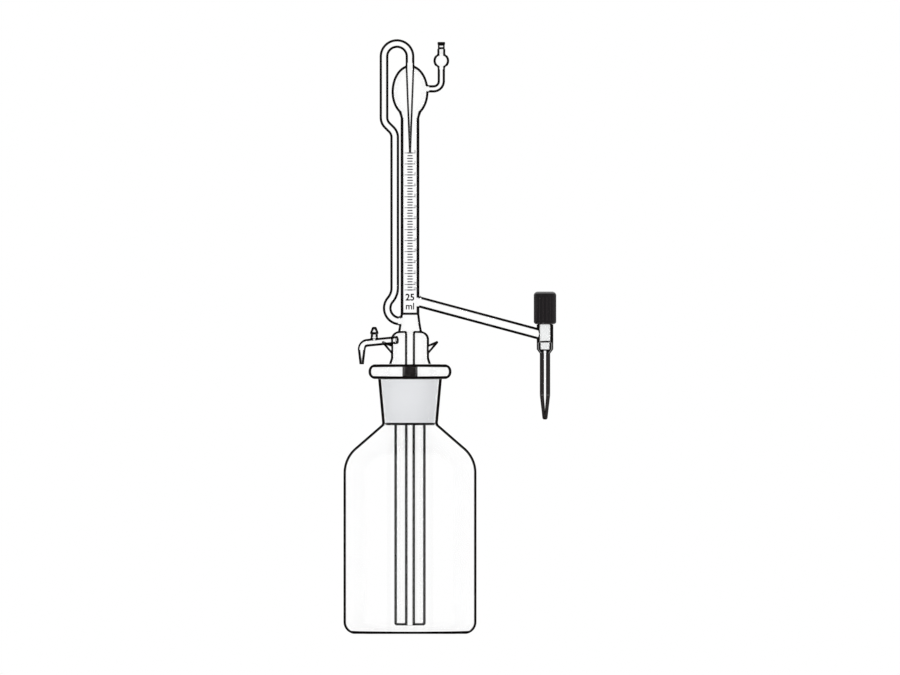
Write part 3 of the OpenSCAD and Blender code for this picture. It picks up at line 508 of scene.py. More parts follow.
def joined(target, steps):
    """Adds or cuts each tool in turn. The faces keep their own materials."""
    tools = []
    for operation, pieces in steps:
        for tool in pieces:
            modifier = target.modifiers.new(operation, "BOOLEAN")
            modifier.solver = "MANIFOLD"
            modifier.operation = operation
            modifier.material_mode = "TRANSFER"
            modifier.object = tool
            tools.append(tool)
    evaluated(target)
    for tool in tools:
        mesh = tool.data
        bpy.data.objects.remove(tool)
        bpy.data.meshes.remove(mesh)
    return target


def smooth(obj, crease=35):
    """Smooth faces, with sharp edges where the surface turns by more than the crease."""
    mesh = obj.data
    mesh.shade_smooth()
    mesh.set_sharp_from_angle(angle=math.radians(crease))
    return obj


def zoned(obj, materials, rule):
    """Gives each face the material whose number the rule returns for its middle."""
    mesh = obj.data
    mesh.materials.clear()
    for material in materials:
        mesh.materials.append(material)
    for face in mesh.polygons:
        face.material_index = rule(face.center)
    return obj


def fitted(obj, body, slot, *nodes):
    """Puts a finished piece on its body and lets it stand for its CAD nodes."""
    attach(obj, body)
    if nodes:
        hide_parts(*nodes)
    return obj


# Nodes and materials


class Wire:
    """A node's output that Python's operators work on, each by one Math node."""

    def __init__(self, bench, socket):
        self.bench = bench
        self.socket = socket

    def math(self, operation, *values):
        return self.bench.math(operation, self, *values)

    def __add__(self, other):
        return self.math("ADD", other)

    __radd__ = __add__

    def __mul__(self, other):
        return self.math("MULTIPLY", other)

    __rmul__ = __mul__

    def __sub__(self, other):
        return self.math("SUBTRACT", other)

    def __rsub__(self, other):
        return self.bench.math("SUBTRACT", other, self)

    def __truediv__(self, other):
        return self.math("DIVIDE", other)

    def __mod__(self, other):
        return self.math("MODULO", other)

    def __abs__(self):
        return self.math("ABSOLUTE")

    def same(self, other):
        return self.math("COMPARE", other, 0.5)

    def over(self, other):
        return self.math("GREATER_THAN", other)

    def most(self, other):
        return self.math("MAXIMUM", other)

    def least(self, other):
        return self.math("MINIMUM", other)

    def root(self):
        return self.math("SQRT")


class Bench:
    """Adds nodes to one tree."""

    def __init__(self, tree):
        self.tree = tree

    def node(self, kind, settings=None, sockets=None):
        """A node of a type, with its settings set first and then its sockets' values or links."""
        node = self.tree.nodes.new(kind)
        for key, value in (settings or {}).items():
            setattr(node, key, value)
        for key, value in (sockets or {}).items():
            if isinstance(value, Wire):
                self.tree.links.new(value.socket, node.inputs[key])
            else:
                node.inputs[key].default_value = value
        return node

    def out(self, kind, settings=None, sockets=None, name=0):
        return Wire(self, self.node(kind, settings, sockets).outputs[name])

    def math(self, operation, *values):
        return self.out("ShaderNodeMath", {"operation": operation}, dict(enumerate(values)))


def rgba(colour):
    return (*colour, 1)


def smooth_step(bench, value, low, high, at_low=0.0, at_high=1.0):
    return bench.out(
        "ShaderNodeMapRange", {"interpolation_type": "SMOOTHSTEP"},
        {"Value": value, "From Min": low, "From Max": high, "To Min": at_low, "To Max": at_high},
        "Result")


def fall(bench, value, low, high):
    """1 under the low value and 0 over the high one."""
    return smooth_step(bench, value, low, high, 1.0, 0.0)


def blend(bench, factor, first, second):
    """A mix of two colours, whose sockets are the Mix node's seventh and eighth."""
    return bench.out(
        "ShaderNodeMix", {"data_type": "RGBA"}, {0: factor, 6: first, 7: second}, 2)


def mottled(bench, factor, base, low, high):
    """A colour that goes with the factor from low to high times its base."""
    dim, bright = ([min(c * times, 1) for c in base] for times in (low, high))
    return blend(bench, factor, rgba(dim), rgba(bright))


def blend_shaders(bench, factor, first, second):
    return bench.out("ShaderNodeMixShader", None, {0: factor, 1: first, 2: second})


def new_material(name):
    material = bpy.data.materials.new(name)
    material.use_nodes = True
    material.node_tree.nodes.clear()
    return material, Bench(material.node_tree)


def finish_material(material, bench, shader):
    output = bench.node("ShaderNodeOutputMaterial")
    bench.tree.links.new(shader.socket, output.inputs["Surface"])
    return material


def principled(bench, **sockets):
    names = {key.replace("_", " "): value for key, value in sockets.items()}
    return bench.out("ShaderNodeBsdfPrincipled", None, names, "BSDF")


def object_place(bench):
    return bench.out("ShaderNodeTexCoord", None, None, "Object")


def split(bench, vector):
    node = bench.node("ShaderNodeSeparateXYZ", None, {0: vector})
    return [Wire(bench, node.outputs[i]) for i in range(3)]


def bump(bench, height, distance):
    return bench.out(
        "ShaderNodeBump", None, {"Strength": 1.0, "Distance": distance, "Height": height},
        "Normal")


def noise(bench, scale, detail=2.0, roughness=0.5):
    return bench.out(
        "ShaderNodeTexNoise", None,
        {"Vector": object_place(bench), "Scale": scale, "Detail": detail, "Roughness": roughness},
        "Fac")


def grazing(line, radius):
    """Cosine between surface and sight where an edge line of that width ends."""
    return math.sqrt(1 - (1 - min(line / radius, 1)) ** 2)


def clear_shader(bench, looks):
    return principled(
        bench, Base_Color=rgba(looks.tint), Roughness=0.0, IOR=looks.ior,
        Transmission_Weight=1.0, Alpha=looks.clarity)


# painted shade: the near-black matt shader laid where glass is seen edge-on, in place of the dark
# that refraction gives
def dark_shader(bench, looks):
    return principled(
        bench, Base_Color=rgba(looks.edge), Roughness=1.0, Specular_IOR_Level=0.0)


def cosine(bench):
    """The cosine between the surface and the sight."""
    return 1 - bench.out("ShaderNodeLayerWeight", None, {"Blend": 0.5}, "Facing")


def lean_of(bench):
    """The upward part of the surface's own normal."""
    return split(bench, bench.out("ShaderNodeTexCoord", None, None, "Normal"))[2]


def reach_from(bench, axis):
    """The distance from an upright axis (x, y)."""
    x, y, _ = split(bench, object_place(bench))
    across, deep = x - axis[0], y - axis[1]
    return (across * across + deep * deep).root()


def offset_from(bench, axis):
    """The distance at which a level line of sight passes a round piece's upright axis."""
    lean = lean_of(bench)
    share = (cosine(bench) / (1 - lean * lean).most(LEAST_FLAT).root()).least(1)
    return reach_from(bench, axis) * (1 - share * share).root()


def edge_limit(bench, line, radius, axis, turn):
    """The cosine under which thin glass is seen edge-on. A round piece about an upright axis
    takes its radius from each point's own distance and slope. A tube that is turned towards
    the viewer has a lower cosine."""
    if radius is not None:
        return grazing(line, radius) * math.cos(turn)
    lean = lean_of(bench)
    flat = (1 - lean * lean).most(LEAST_FLAT).root()
    inner = 1 - (flat * line / reach_from(bench, axis).most(0.5 * MM)).least(1)
    return (1 - inner * inner).root()


def edge_on(bench, limit):
    """1 where the cosine between the surface and the sight is under the limit."""
    return fall(bench, cosine(bench), limit - SOFT, limit + SOFT)


def band_mask(bench, value, low, high, fade):
    """1 between two values, with soft ends."""
    return smooth_step(bench, value, low - fade, low + fade) * fall(
        bench, value, high - fade, high + fade)


# The mask of the painted shade on the glass's edges
def edge_mask(bench, line, radius=None, axis=(0, 0), turn=0, rim=None, rim_line=None, clear=0,
              gap=None, shaft=None):
    """1 where glass is seen edge-on. Level rims of the small radius rim have a line of their
    own width, but not nearer to the YZ plane than clear, and flat level glass has none. A gap
    (side, height, half) stays open, and so does a shaft (half, height) round the axis over its
    height."""
    limit = edge_limit(bench, line, radius, axis, turn)
    x, _, z = split(bench, object_place(bench))
    if rim is not None:
        level = grazing(min(rim_line or line, rim * RIM_SHARE), rim)
        lean = math.sqrt(1 - level * level)
        share = smooth_step(bench, abs(lean_of(bench)), lean - RIM_FADE, lean)
        if clear:
            level = smooth_step(bench, abs(x), clear - MM, clear) * level
        limit = limit * (1 - share) + share * level
    mask = edge_on(bench, limit)
    if rim is not None:
        mask = mask * fall(bench, abs(lean_of(bench)), NEARLY_LEVEL, LEVEL)
    if gap is not None:
        side, height, half = gap
        near = band_mask(bench, z, height - half, height + half, 0.4 * MM)
        mask = mask * (1 - near * (x * side).over(0))
    if shaft is not None:
        half, height = shaft
        inside = fall(bench, offset_from(bench, axis), half - MM / 4, half + MM / 4)
        mask = mask * (1 - inside * (z - height).over(0))
    return mask


def edged_glass(material, bench, mask, looks):
    """Clear glass with painted shade: dark where the mask is 1."""
    return finish_material(material, bench, blend_shaders(
        bench, mask, clear_shader(bench, looks), dark_shader(bench, looks)))


def glass_material(name, looks, line=None, **shape):
    """Clear glass with a painted dark edge, painted shade for the dark edge that glass shows
    before a white ground.
    """
    material, bench = new_material(name)
    return edged_glass(material, bench, edge_mask(bench, line or looks.line, **shape), looks)


def horn_material(name, looks, bell, foot, tip):
    """A slim cone of clear glass on either side of the YZ plane, with painted dark edges of one
    width.
    """
    material, bench = new_material(name)
    x, _, z = split(bench, object_place(bench))
    run = math.dist(foot, tip)
    share = ((abs(x) - foot[0]) * (tip[0] - foot[0]) + (z - foot[1]) * (tip[1] - foot[1])) / run**2
    radius = share * (bell.horn_tip - bell.horn_root) + bell.horn_root
    inner = ((radius - looks.horn_line) / radius).most(0)
    limit = (1 - inner * inner).root()
    return edged_glass(material, bench, edge_on(bench, limit), looks)


def bore_material(name, looks):
    """The clear inner wall of blown glass."""
    material, bench = new_material(name)
    return finish_material(material, bench, clear_shader(bench, looks))


def dark_glass_material(name, looks):
    """Glass painted near black where it is fused or cut, as painted shade for the dark that such
    glass shows, with a slightly mottled tone.
    """
    material, bench = new_material(name)
    cloud = noise(bench, 300.0)
    tone = mottled(bench, cloud, looks.edge, 1, 1.4)
    shader = principled(bench, Base_Color=tone, Roughness=0.8, Specular_IOR_Level=0.05)
    return finish_material(material, bench, shader)


def cone_material(name, looks, low, high, width):
    """Ground glass between two heights, clear and polished above and below."""
    material, bench = new_material(name)
    z = split(bench, object_place(bench))[2]
    band = band_mask(bench, z, low, high, 0.3 * MM)
    edge = smooth_step(bench, cosine(bench), width, width + 0.05)
    grain = noise(bench, 2600.0, 3.0, 0.7)
    tone = mottled(bench, grain, looks.frost, 0.97, 1.03)
    frost = principled(
        bench, Base_Color=tone, Roughness=0.75, Specular_IOR_Level=0.1,
        Normal=bump(bench, grain, 0.05 * MM))
    return finish_material(material, bench, blend_shaders(
        bench, band * edge, clear_shader(bench, looks), frost))


def capillary_material(name, looks, axis, bore, line, z_ring, z_narrow, z_closed):
    """Thick glass with painted shade: dark at its walls and light along its bore, with a thin
    ring. The bore narrows down from z_narrow and closes at z_closed."""
    material, bench = new_material(name)
    z = split(bench, object_place(bench))[2]
    offset = offset_from(bench, axis)
    half = smooth_step(bench, z, z_closed, z_narrow, 0.0, bore)
    bore_fade, line_fade = 0.08 * MM, 0.2 * MM
    open_bore = fall(bench, offset - half, -bore_fade, bore_fade)
    from_edge = reach_from(bench, axis) - offset
    edge = fall(bench, from_edge, line - line_fade, line + line_fade)
    lip = fall(bench, offset - half, line - line_fade, line + line_fade)
    # painted shade: the walls' mottled dark grey, with the edge and the lip in the edge colour
    streak = noise(bench, 900.0)
    grey = blend(bench, streak, (0.014, 0.012, 0.012, 1), (0.032, 0.028, 0.028, 1))
    tone = blend(bench, edge.most(lip), grey, rgba(looks.edge))
    ring_half, ring_end, ring_share = 0.15 * MM, 0.45 * MM, 0.45
    ring = smooth_step(bench, abs(z - z_ring), ring_half, ring_end, ring_share, 0.0)
    tone = blend(bench, ring, tone, (0.30, 0.30, 0.30, 1))
    dark = principled(bench, Base_Color=tone, Roughness=0.5, Specular_IOR_Level=0.05)
    return finish_material(material, bench, blend_shaders(
        bench, open_bore, dark, clear_shader(bench, looks)))


def seat_material(name, looks, axis, plug, bore, painted_highlight, z_foot, slope):
    """The barrel's foot: painted dark round the plug and the bore, as painted shade, with a
    painted grey highlight that follows the taper under z_foot, which narrows by slope."""
    material, bench = new_material(name)
    z = split(bench, object_place(bench))[2]
    offset = offset_from(bench, axis)
    fade, floor = 0.1 * MM, 1.4 * MM
    # painted shade: dark round the plug above z_foot and round the bore below it
    at_plug = fall(bench, offset, plug - fade, plug + fade) * z.over(z_foot)
    at_bore = fall(bench, offset, bore - fade, bore + fade) * (z_foot - floor - z).over(0)
    below = (z_foot - z).most(0)
    # painted highlight: a grey band that follows the taper
    low, high = painted_highlight
    highlight_band = band_mask(bench, offset + below * slope, low, high, 0.2 * MM)
    highlight_mottle = noise(bench, 700.0)
    grey = blend(bench, highlight_mottle, (0.17, 0.17, 0.17, 1), (0.27, 0.27, 0.27, 1))
    tone = blend(bench, highlight_band, rgba(looks.edge), grey)
    dark = principled(bench, Base_Color=tone, Roughness=0.5, Specular_IOR_Level=0.05)
    return finish_material(material, bench, blend_shaders(
        bench, at_plug.most(at_bore), dark, clear_shader(bench, looks)))


def rubber_material(name, base):
    """Matt moulded rubber with a fine grain and a little bloom."""
    material, bench = new_material(name)
    cloud = noise(bench, 130.0, 3.0)
    grain = noise(bench, 3200.0, 2.0, 0.6)
    tone = mottled(bench, cloud, base, 0.7, 1.3)
    rough = smooth_step(bench, cloud, 0.2, 0.8, 0.6, 0.8)
    shader = principled(
        bench, Base_Color=tone, Roughness=rough, Specular_IOR_Level=0.1,
        Normal=bump(bench, grain, 0.03 * MM))
    return finish_material(material, bench, shader)


def silicone_material(name, looks, line, axis, z_seat, bands):
    """Clear silicone with painted dark edges over its seat, as painted shade where it is seen
    edge-on, and level dark bands.
    """
    material, bench = new_material(name)
    z = split(bench, object_place(bench))[2]
    mask = edge_mask(bench, line, axis=axis) * (z - z_seat).over(0)
    for low, high in bands:
        mask = mask.most(band_mask(bench, z, low, high, 0.2 * MM))
    cloud = noise(bench, 400.0)
    tone = blend(bench, cloud, (0.92, 0.93, 0.93, 1), (0.97, 0.97, 0.97, 1))
    soft = principled(
        bench, Base_Color=tone, Roughness=0.4, Specular_IOR_Level=0.3, Alpha=0.1)
    return finish_material(
        material, bench, blend_shaders(bench, mask, soft, dark_shader(bench, looks)))


def knob_material(name, looks, axis_x, low, high, z_round):
    """Moulded plastic that is painted lighter, as painted highlights, down in the flutes and where
    its top edge turns.
    """
    material, bench = new_material(name)
    z = split(bench, object_place(bench))[2]
    cloud = noise(bench, 90.0)
    peel = noise(bench, 1500.0)
    dark = mottled(bench, cloud, looks.plastic, 0.6, 1)
    # painted highlight: the flutes' hollows are painted lighter in stripes, in place of highlights
    # from the light
    sunk = smooth_step(bench, reach_from(bench, (axis_x, 0)), low, high, 0.8, 0.0)
    tone = blend(bench, sunk * (z_round - z).over(0), dark, rgba(looks.flute))
    # painted highlight: a lighter grey band painted round the knob's rounded top edge
    painted_highlight = band_mask(bench, lean_of(bench), HIGHLIGHT_FROM, HIGHLIGHT_TO, 0.05) * (z - z_round).over(0)
    tone = blend(bench, painted_highlight * 0.8, tone, (0.22, 0.22, 0.22, 1))
    shader = principled(
        bench, Base_Color=tone, Roughness=0.45, Specular_IOR_Level=0.1,
        Normal=bump(bench, peel, 0.02 * MM))
    return finish_material(material, bench, shader)


def fluoroplastic_material(name, base):
    """Milky fluoroplastic that lets light through, with fine marks of the lathe."""
    material, bench = new_material(name)
    cloud = noise(bench, 90.0)
    z = split(bench, object_place(bench))[2]
    pitch = 0.5 * MM
    grooves = abs((z / pitch) % 1 - 0.5)
    tone = mottled(bench, cloud, base, 0.97, 1.02)
    gloss = smooth_step(bench, cloud, 0.25, 0.75, 0.35, 0.45)
    shader = principled(
        bench, Base_Color=tone, Roughness=gloss, IOR=1.08, Specular_IOR_Level=0.2,
        Transmission_Weight=0.85, Normal=bump(bench, grooves, 0.01 * MM))
    return finish_material(material, bench, shader)


def enamel_material(name, base):
    """Fired enamel, slightly uneven in tone."""
    material, bench = new_material(name)
    speck = noise(bench, 2200.0)
    tone = mottled(bench, speck, base, 0.85, 1.2)
    shader = principled(bench, Base_Color=tone, Roughness=0.6, Specular_IOR_Level=0.05)
    return finish_material(material, bench, shader)


# Geometry node trees


def new_tree(name, inputs):
    """A geometry tree with named inputs. Returns its bench, inputs and identifiers."""
    tree = bpy.data.node_groups.new(name, "GeometryNodeTree")
    identifiers = {}
    tree.interface.new_socket("Geometry", in_out="INPUT", socket_type="NodeSocketGeometry")
    for key, kind in inputs.items():
        socket = tree.interface.new_socket(key, in_out="INPUT", socket_type=kind)
        identifiers[key] = socket.identifier
    tree.interface.new_socket("Geometry", in_out="OUTPUT", socket_type="NodeSocketGeometry")
    bench = Bench(tree)
    group = bench.node("NodeGroupInput")
    wires = {key: Wire(bench, group.outputs[key]) for key in ("Geometry", *inputs)}
    return bench, wires, identifiers


def end_tree(bench, geometry, material):
    real = bench.out("GeometryNodeRealizeInstances", None, {"Geometry": geometry})
    painted = bench.out(
        "GeometryNodeSetMaterial", None, {"Geometry": real, "Material": material})
    bench.node("NodeGroupOutput", None, {"Geometry": painted})


def tube_tree():
    """A tube of one radius along the edges of a mesh."""
    bench, wires, identifiers = new_tree("glass_tube_on_path", {
        "Radius": "NodeSocketFloat", "Sides": "NodeSocketInt", "Glass": "NodeSocketMaterial"})
    path = bench.out("GeometryNodeMeshToCurve", None, {"Mesh": wires["Geometry"]})
    ring = bench.out(
        "GeometryNodeCurvePrimitiveCircle", {"mode": "RADIUS"},
        {"Resolution": wires["Sides"], "Radius": wires["Radius"]})
    tube = bench.out(
        "GeometryNodeCurveToMesh", None,
        {"Curve": path, "Profile Curve": ring, "Fill Caps": True})
    end_tree(bench, tube, wires["Glass"])
    return bench.tree, identifiers


def scale_tree():
    """Lines of three lengths down a tube, bent round its front."""
    bench, wires, identifiers = new_tree("graduation_lines", {
        "Lines": "NodeSocketInt", "Pitch": "NodeSocketFloat", "Zero Height": "NodeSocketFloat",
        "Tube Radius": "NodeSocketFloat", "Depth": "NodeSocketFloat", "Width": "NodeSocketFloat",
        "Bold": "NodeSocketFloat", "Long": "NodeSocketFloat", "Middle": "NodeSocketFloat",
        "Short": "NodeSocketFloat", "Lines per Unit": "NodeSocketInt",
        "Enamel": "NodeSocketMaterial"})
    start = bench.out("ShaderNodeCombineXYZ", None, {"Z": wires["Zero Height"]})
    step = bench.out("ShaderNodeCombineXYZ", None, {"Z": wires["Pitch"] * -1})
    points = bench.out(
        "GeometryNodeMeshLine", {"mode": "OFFSET"},
        {"Count": wires["Lines"], "Start Location": start, "Offset": step})
    radius = wires["Tube Radius"] + wires["Depth"] / 2

    def arc(size, width, depth):
        profile = bench.out(
            "GeometryNodeCurvePrimitiveQuadrilateral", {"mode": "RECTANGLE"},
            {0: wires["Depth"] * depth, 1: wires["Width"] * width})
        sweep = wires[size] / wires["Tube Radius"]
        curve = bench.out(
            "GeometryNodeCurveArc", {"mode": "RADIUS"},
            {"Resolution": 14, "Radius": radius, "Start Angle": -math.pi / 2 - sweep / 2,
             "Sweep Angle": sweep})
        return bench.out(
            "GeometryNodeCurveToMesh", None,
            {"Curve": curve, "Profile Curve": profile, "Fill Caps": True})

    index = bench.out("GeometryNodeInputIndex")
    per_unit = wires["Lines per Unit"]
    half = index % per_unit
    unit = (index / per_unit) % 2
    last = index.same(wires["Lines"] - 1)
    even = half.same(0) * unit.same(0)
    long = even.most(last)
    middle = (1 - long) * half.same(0)
    lines = bench.node("GeometryNodeJoinGeometry")
    for size, chosen, width, depth in (
            ("Long", long, 1, 1), ("Middle", middle, 1, 1), ("Short", True, wires["Bold"], 1.5)):
        copies = bench.out(
            "GeometryNodeInstanceOnPoints", None,
            {"Points": points, "Selection": chosen, "Instance": arc(size, width, depth)})
        bench.tree.links.new(copies.socket, lines.inputs[0])
    end_tree(bench, Wire(bench, lines.outputs[0]), wires["Enamel"])
    return bench.tree, identifiers


def grown(name, mesh, tree, identifiers, values):
    """A plain mesh object made from a mesh by a geometry tree."""
    obj = bpy.data.objects.new(name, mesh)
    bpy.context.scene.collection.objects.link(obj)
    modifier = obj.modifiers.new(tree.name, "NODES")
    modifier.node_group = tree
    for key, value in values.items():
        modifier[identifiers[key]] = value
    return evaluated(obj)


def tube(name, points, radius, material, turn=None):
    """A tube along (x, z) points of the XZ plane."""
    mesh = bpy.data.meshes.new(name)
    edges = [(i, i + 1) for i in range(len(points) - 1)]
    mesh.from_pydata([(x, 0, z) for x, z in points], edges, [])
    if "glass_tube_on_path" not in TREES:
        TREES["glass_tube_on_path"] = tube_tree()
    tree, identifiers = TREES["glass_tube_on_path"]
    obj = grown(name, mesh, tree, identifiers,
                {"Radius": radius, "Sides": TUBE_SIDES, "Glass": material})
    bm = bmesh.new()
    bm.from_mesh(obj.data)
    bmesh.ops.remove_doubles(bm, verts=bm.verts, dist=TINY)
    bmesh.ops.recalc_face_normals(bm, faces=bm.faces)
    if turn is not None:
        bm.transform(turn)
    bm.to_mesh(obj.data)
    bm.free()
    return obj


TREES = {}


# Pieces of the burette


def bottle_outline(s, z):
    b = s.bottle
    panel = b.rest_radius * 2 / 3
    slip = b.wall * math.tan((math.pi / 2 - b.slope) / 2)
    inner = b.radius - b.wall
    inner_body = b.body_height - slip
    z_socket = inner_body + (inner - z.socket_low) * math.tan(b.slope)
    rim_round = b.rim_height * RIM_ROUND
    top = z.socket_low + b.rim_height * z.socket_rise + b.neck_height * z.socket_rise
    return rounded([
        (0, b.push_up, 0), (panel, b.push_up, panel / 2), (b.rest_radius, 0, b.push_up),
        (b.radius, 0, b.foot_round), (b.radius, b.body_height, b.shoulder_round),
        (b.neck_low, z.neck, b.neck_wall), (b.neck_high, z.rim, b.edge_round),
        (b.rim_radius, z.rim, rim_round), (b.rim_radius, z.rim_top, rim_round),
        (top, z.rim_top, b.edge_round), (z.socket_low, z.neck, 0),
        (z.socket_low, z_socket, b.neck_wall),
        (inner, inner_body, b.shoulder_round - b.wall),
        (inner, b.base, b.foot_round - b.wall), (b.rest_radius, b.base, b.push_up),
        (panel, z.floor, panel / 2), (0, z.floor, 0)], 14)


def socket_at(z, height):
    return z.socket_low + (height - z.neck) * z.socket_rise


def make_bottle(s):
    z, b, looks = levels(s), s.bottle, s.looks
    body = glass_material("bottle_glass", looks)
    foot = glass_material("bottle_foot_glass", looks, rim=b.foot_round)
    neck = glass_material("bottle_neck_glass", looks, looks.heavy_line)
    rim = glass_material("bottle_rim_glass", looks, looks.rim_line, rim=b.rim_height * RIM_ROUND)
    inside = bore_material("bottle_inner_wall", looks)
    obj = formed("reservoir_bottle_glass", turned(bottle_outline(s, z)), body)

    z_rim_zone, inner_lip = z.rim - 0.2 * MM, 1.2 * MM

    def wall(p):
        r = math.hypot(p.x, p.y)
        if p.z > z_rim_zone:
            return rim if r > b.neck_high - b.neck_wall + inner_lip else inside
        if p.z > z.neck:
            return neck if r > socket_at(z, p.z) + b.neck_wall / 2 else inside
        if p.z > b.body_height - b.shoulder_round / 2:
            return inside if inner_side(b, r, p.z) else body
        if p.z > b.foot_round:
            return body if r > b.radius - b.wall / 2 else inside
        if r > b.radius - b.foot_round:
            reach = math.hypot(r - b.radius + b.foot_round, p.z - b.foot_round)
            return foot if reach > b.foot_round - b.wall / 2 else inside
        return foot if p.z < b.push_up + b.base / 2 and p.z < b.base - MM else inside

    kinds = [body, neck, rim, inside, foot]
    zoned(obj, kinds, lambda p: kinds.index(wall(p)))
    return fitted(smooth(obj), "reservoir", "clear_glass", "reservoir_bottle")


def inner_side(b, r, height):
    """Whether a point of the bottle's shoulder is nearer its inner wall than its outer one."""
    centre = Vector((b.radius - b.shoulder_round, b.body_height - b.shoulder_round * math.tan(
        (math.pi / 2 - b.slope) / 2)))
    across, up = r - centre.x, height - centre.y
    depth = math.hypot(across, up)
    if across < up * math.tan(b.slope):
        depth = across * math.sin(b.slope) + up * math.cos(b.slope)
    return depth < b.shoulder_round - b.wall / 2


def make_drop_line(s):
    z, f, looks = levels(s), s.feed, s.looks
    bore = f.radius - f.wall
    grip = f.radius + f.sleeve_gap
    low = z.sleeve_top - f.sleeve_length
    edge = 0.5 * MM
    sleeve = formed("rubber_sleeve_band", turned(rounded([
        (grip, low, 0), (f.sleeve_radius, low, edge), (f.sleeve_radius, z.sleeve_top, edge),
        (grip, z.sleeve_top, 0)])), rubber_material("black_rubber_sleeve", looks.rubber))
    fitted(smooth(sleeve), "drop_line", "black_rubber", "rubber_sleeve")

    lip, top = f.wall / 3, z.butt - f.butt_gap / 2
    outer = glass_material("drop_tube_glass", looks, looks.drop_line, radius=f.radius)
    inner = bore_material("drop_tube_bore", looks)
    pipe = formed("drop_tube_glass", turned(rounded([
        (bore, z.drop, lip), (f.radius, z.drop, lip), (f.radius, top, lip), (bore, top, lip)]),
        TUBE_SIDES), outer)
    middle = (bore + f.radius) / 2
    zoned(pipe, [outer, inner], lambda p: int(math.hypot(p.x, p.y) < middle))
    fitted(smooth(pipe), "drop_line", "clear_glass", "drop_tube")

    in_r, in_round = f.jacket_radius - f.jacket_wall, f.jacket_round - f.jacket_wall
    gap = f.sleeve_gap
    skin_glass = glass_material("jacket_glass", looks, looks.drop_line, rim=f.jacket_round,
                                radius=f.jacket_radius, clear=f.radius)
    hollow = bore_material("jacket_inner_wall", looks)
    jacket = formed("drop_jacket_glass", turned(rounded([
        (f.radius + gap, z.drop, 0), (f.jacket_radius, z.drop, f.jacket_round),
        (f.jacket_radius, z.jacket_top, f.jacket_round), (f.radius + gap, z.jacket_top, 0),
        (f.radius + gap, z.jacket_top - f.jacket_wall, 0),
        (in_r, z.jacket_top - f.jacket_wall, in_round),
        (in_r, z.drop + f.jacket_wall, in_round), (f.radius + gap, z.drop + f.jacket_wall, 0)])),
        skin_glass)
    half_wall = f.jacket_wall / 2

    def side(p):
        inside = math.hypot(p.x, p.y) < f.jacket_radius - half_wall
        return int(inside and z.drop + half_wall < p.z < z.jacket_top - half_wall)

    zoned(jacket, [skin_glass, hollow], side)
    fitted(smooth(jacket), "drop_line", "clear_glass", "drop_jacket")


def make_ground_cone(s):
    z, b, bell = levels(s), s.bottle, s.bell
    low = z.socket_low - bell.ground_gap
    lip_below = 0.7
    z_low = z.cone - s.looks.foot_line * lip_below
    z_lip = z_low + s.looks.foot_line
    lip_radius = socket_at(z, z_lip) - bell.ground_gap
    top = socket_at(z, z.cone_top) - bell.ground_gap
    under = socket_at(z, z.cone_top - bell.cone_wall) - bell.ground_gap - bell.cone_wall
    hole = bell.foot_radius - bell.wall
    lip = bell.cone_wall * 0.45
    z_frost_top = z.rim - 0.3 * MM
    frosted = cone_material("ground_joint_glass", s.looks, z_lip, z_frost_top,
                            grazing(s.looks.frost_margin, b.neck_low))
    lip_glass = dark_glass_material("ground_joint_lip", s.looks)
    obj = formed("ground_cone_glass", turned(rounded([
        (lip_radius - bell.cone_wall, z_lip, 0), (low - bell.cone_wall, z_low, lip),
        (low, z_low, lip), (lip_radius, z_lip, 0), (top, z.cone_top, lip),
        (hole, z.cone_top, 0), (hole, z.cone_top - bell.cone_wall, lip),
        (under, z.cone_top - bell.cone_wall, bell.cone_wall)])), frosted)
    # painted shade: the cone's foot below z_lip is painted near black
    zoned(obj, [frosted, lip_glass], lambda p: int(p.z < z_lip))
    return fitted(smooth(obj), "burette_head", "ground_glass", "ground_cone")


def riser_path(s, z):
    """Points of the riser from the chamber up, over the crown and down to the jet."""
    r = s.riser
    low = (r.low_bend - r.low_reach, z.riser + r.low_bend)
    dx = r.reach + r.turn_bend + low[0]
    span = r.low_bend + r.turn_bend
    dz = math.sqrt(span * span - dx * dx)
    lean = math.atan2(dz, dx)
    turn = (low[0] - dx, low[1] + dz)
    swing = r.jog_bend * (1 - math.cos(r.jog_tilt))
    run = (r.high_reach - r.reach - 2 * swing) / math.sin(r.jog_tilt)
    half = r.jog_bend * math.sin(r.jog_tilt) + run * math.cos(r.jog_tilt) / 2
    z_jog = z.tube_top - r.jog_drop
    jog_low = (-r.reach - r.jog_bend, z_jog - half)
    jog_high = (r.jog_bend - r.high_reach, z_jog + half)
    crown = (-r.high_reach / 2, z.crown)
    pi = math.pi
    arcs = [
        around(low, r.low_bend, 1.5 * pi, pi - lean, 24),
        around(turn, r.turn_bend, -lean, 0, 10)[1:],
        around(jog_low, r.jog_bend, 0, r.jog_tilt, 12),
        around(jog_high, r.jog_bend, pi + r.jog_tilt, pi, 12),
        around(crown, r.high_reach / 2, pi, 0, 36),
    ]
    return [point for arc in arcs for point in arc]


def bulb_side(s, z, wall, start, end):
    b = s.bulb
    low = oval(b.radius - wall, b.low - wall, z.bulb, start, 0)
    high = oval(b.radius - wall, b.up - wall, z.bulb, 0, end)
    return low + high[1:]


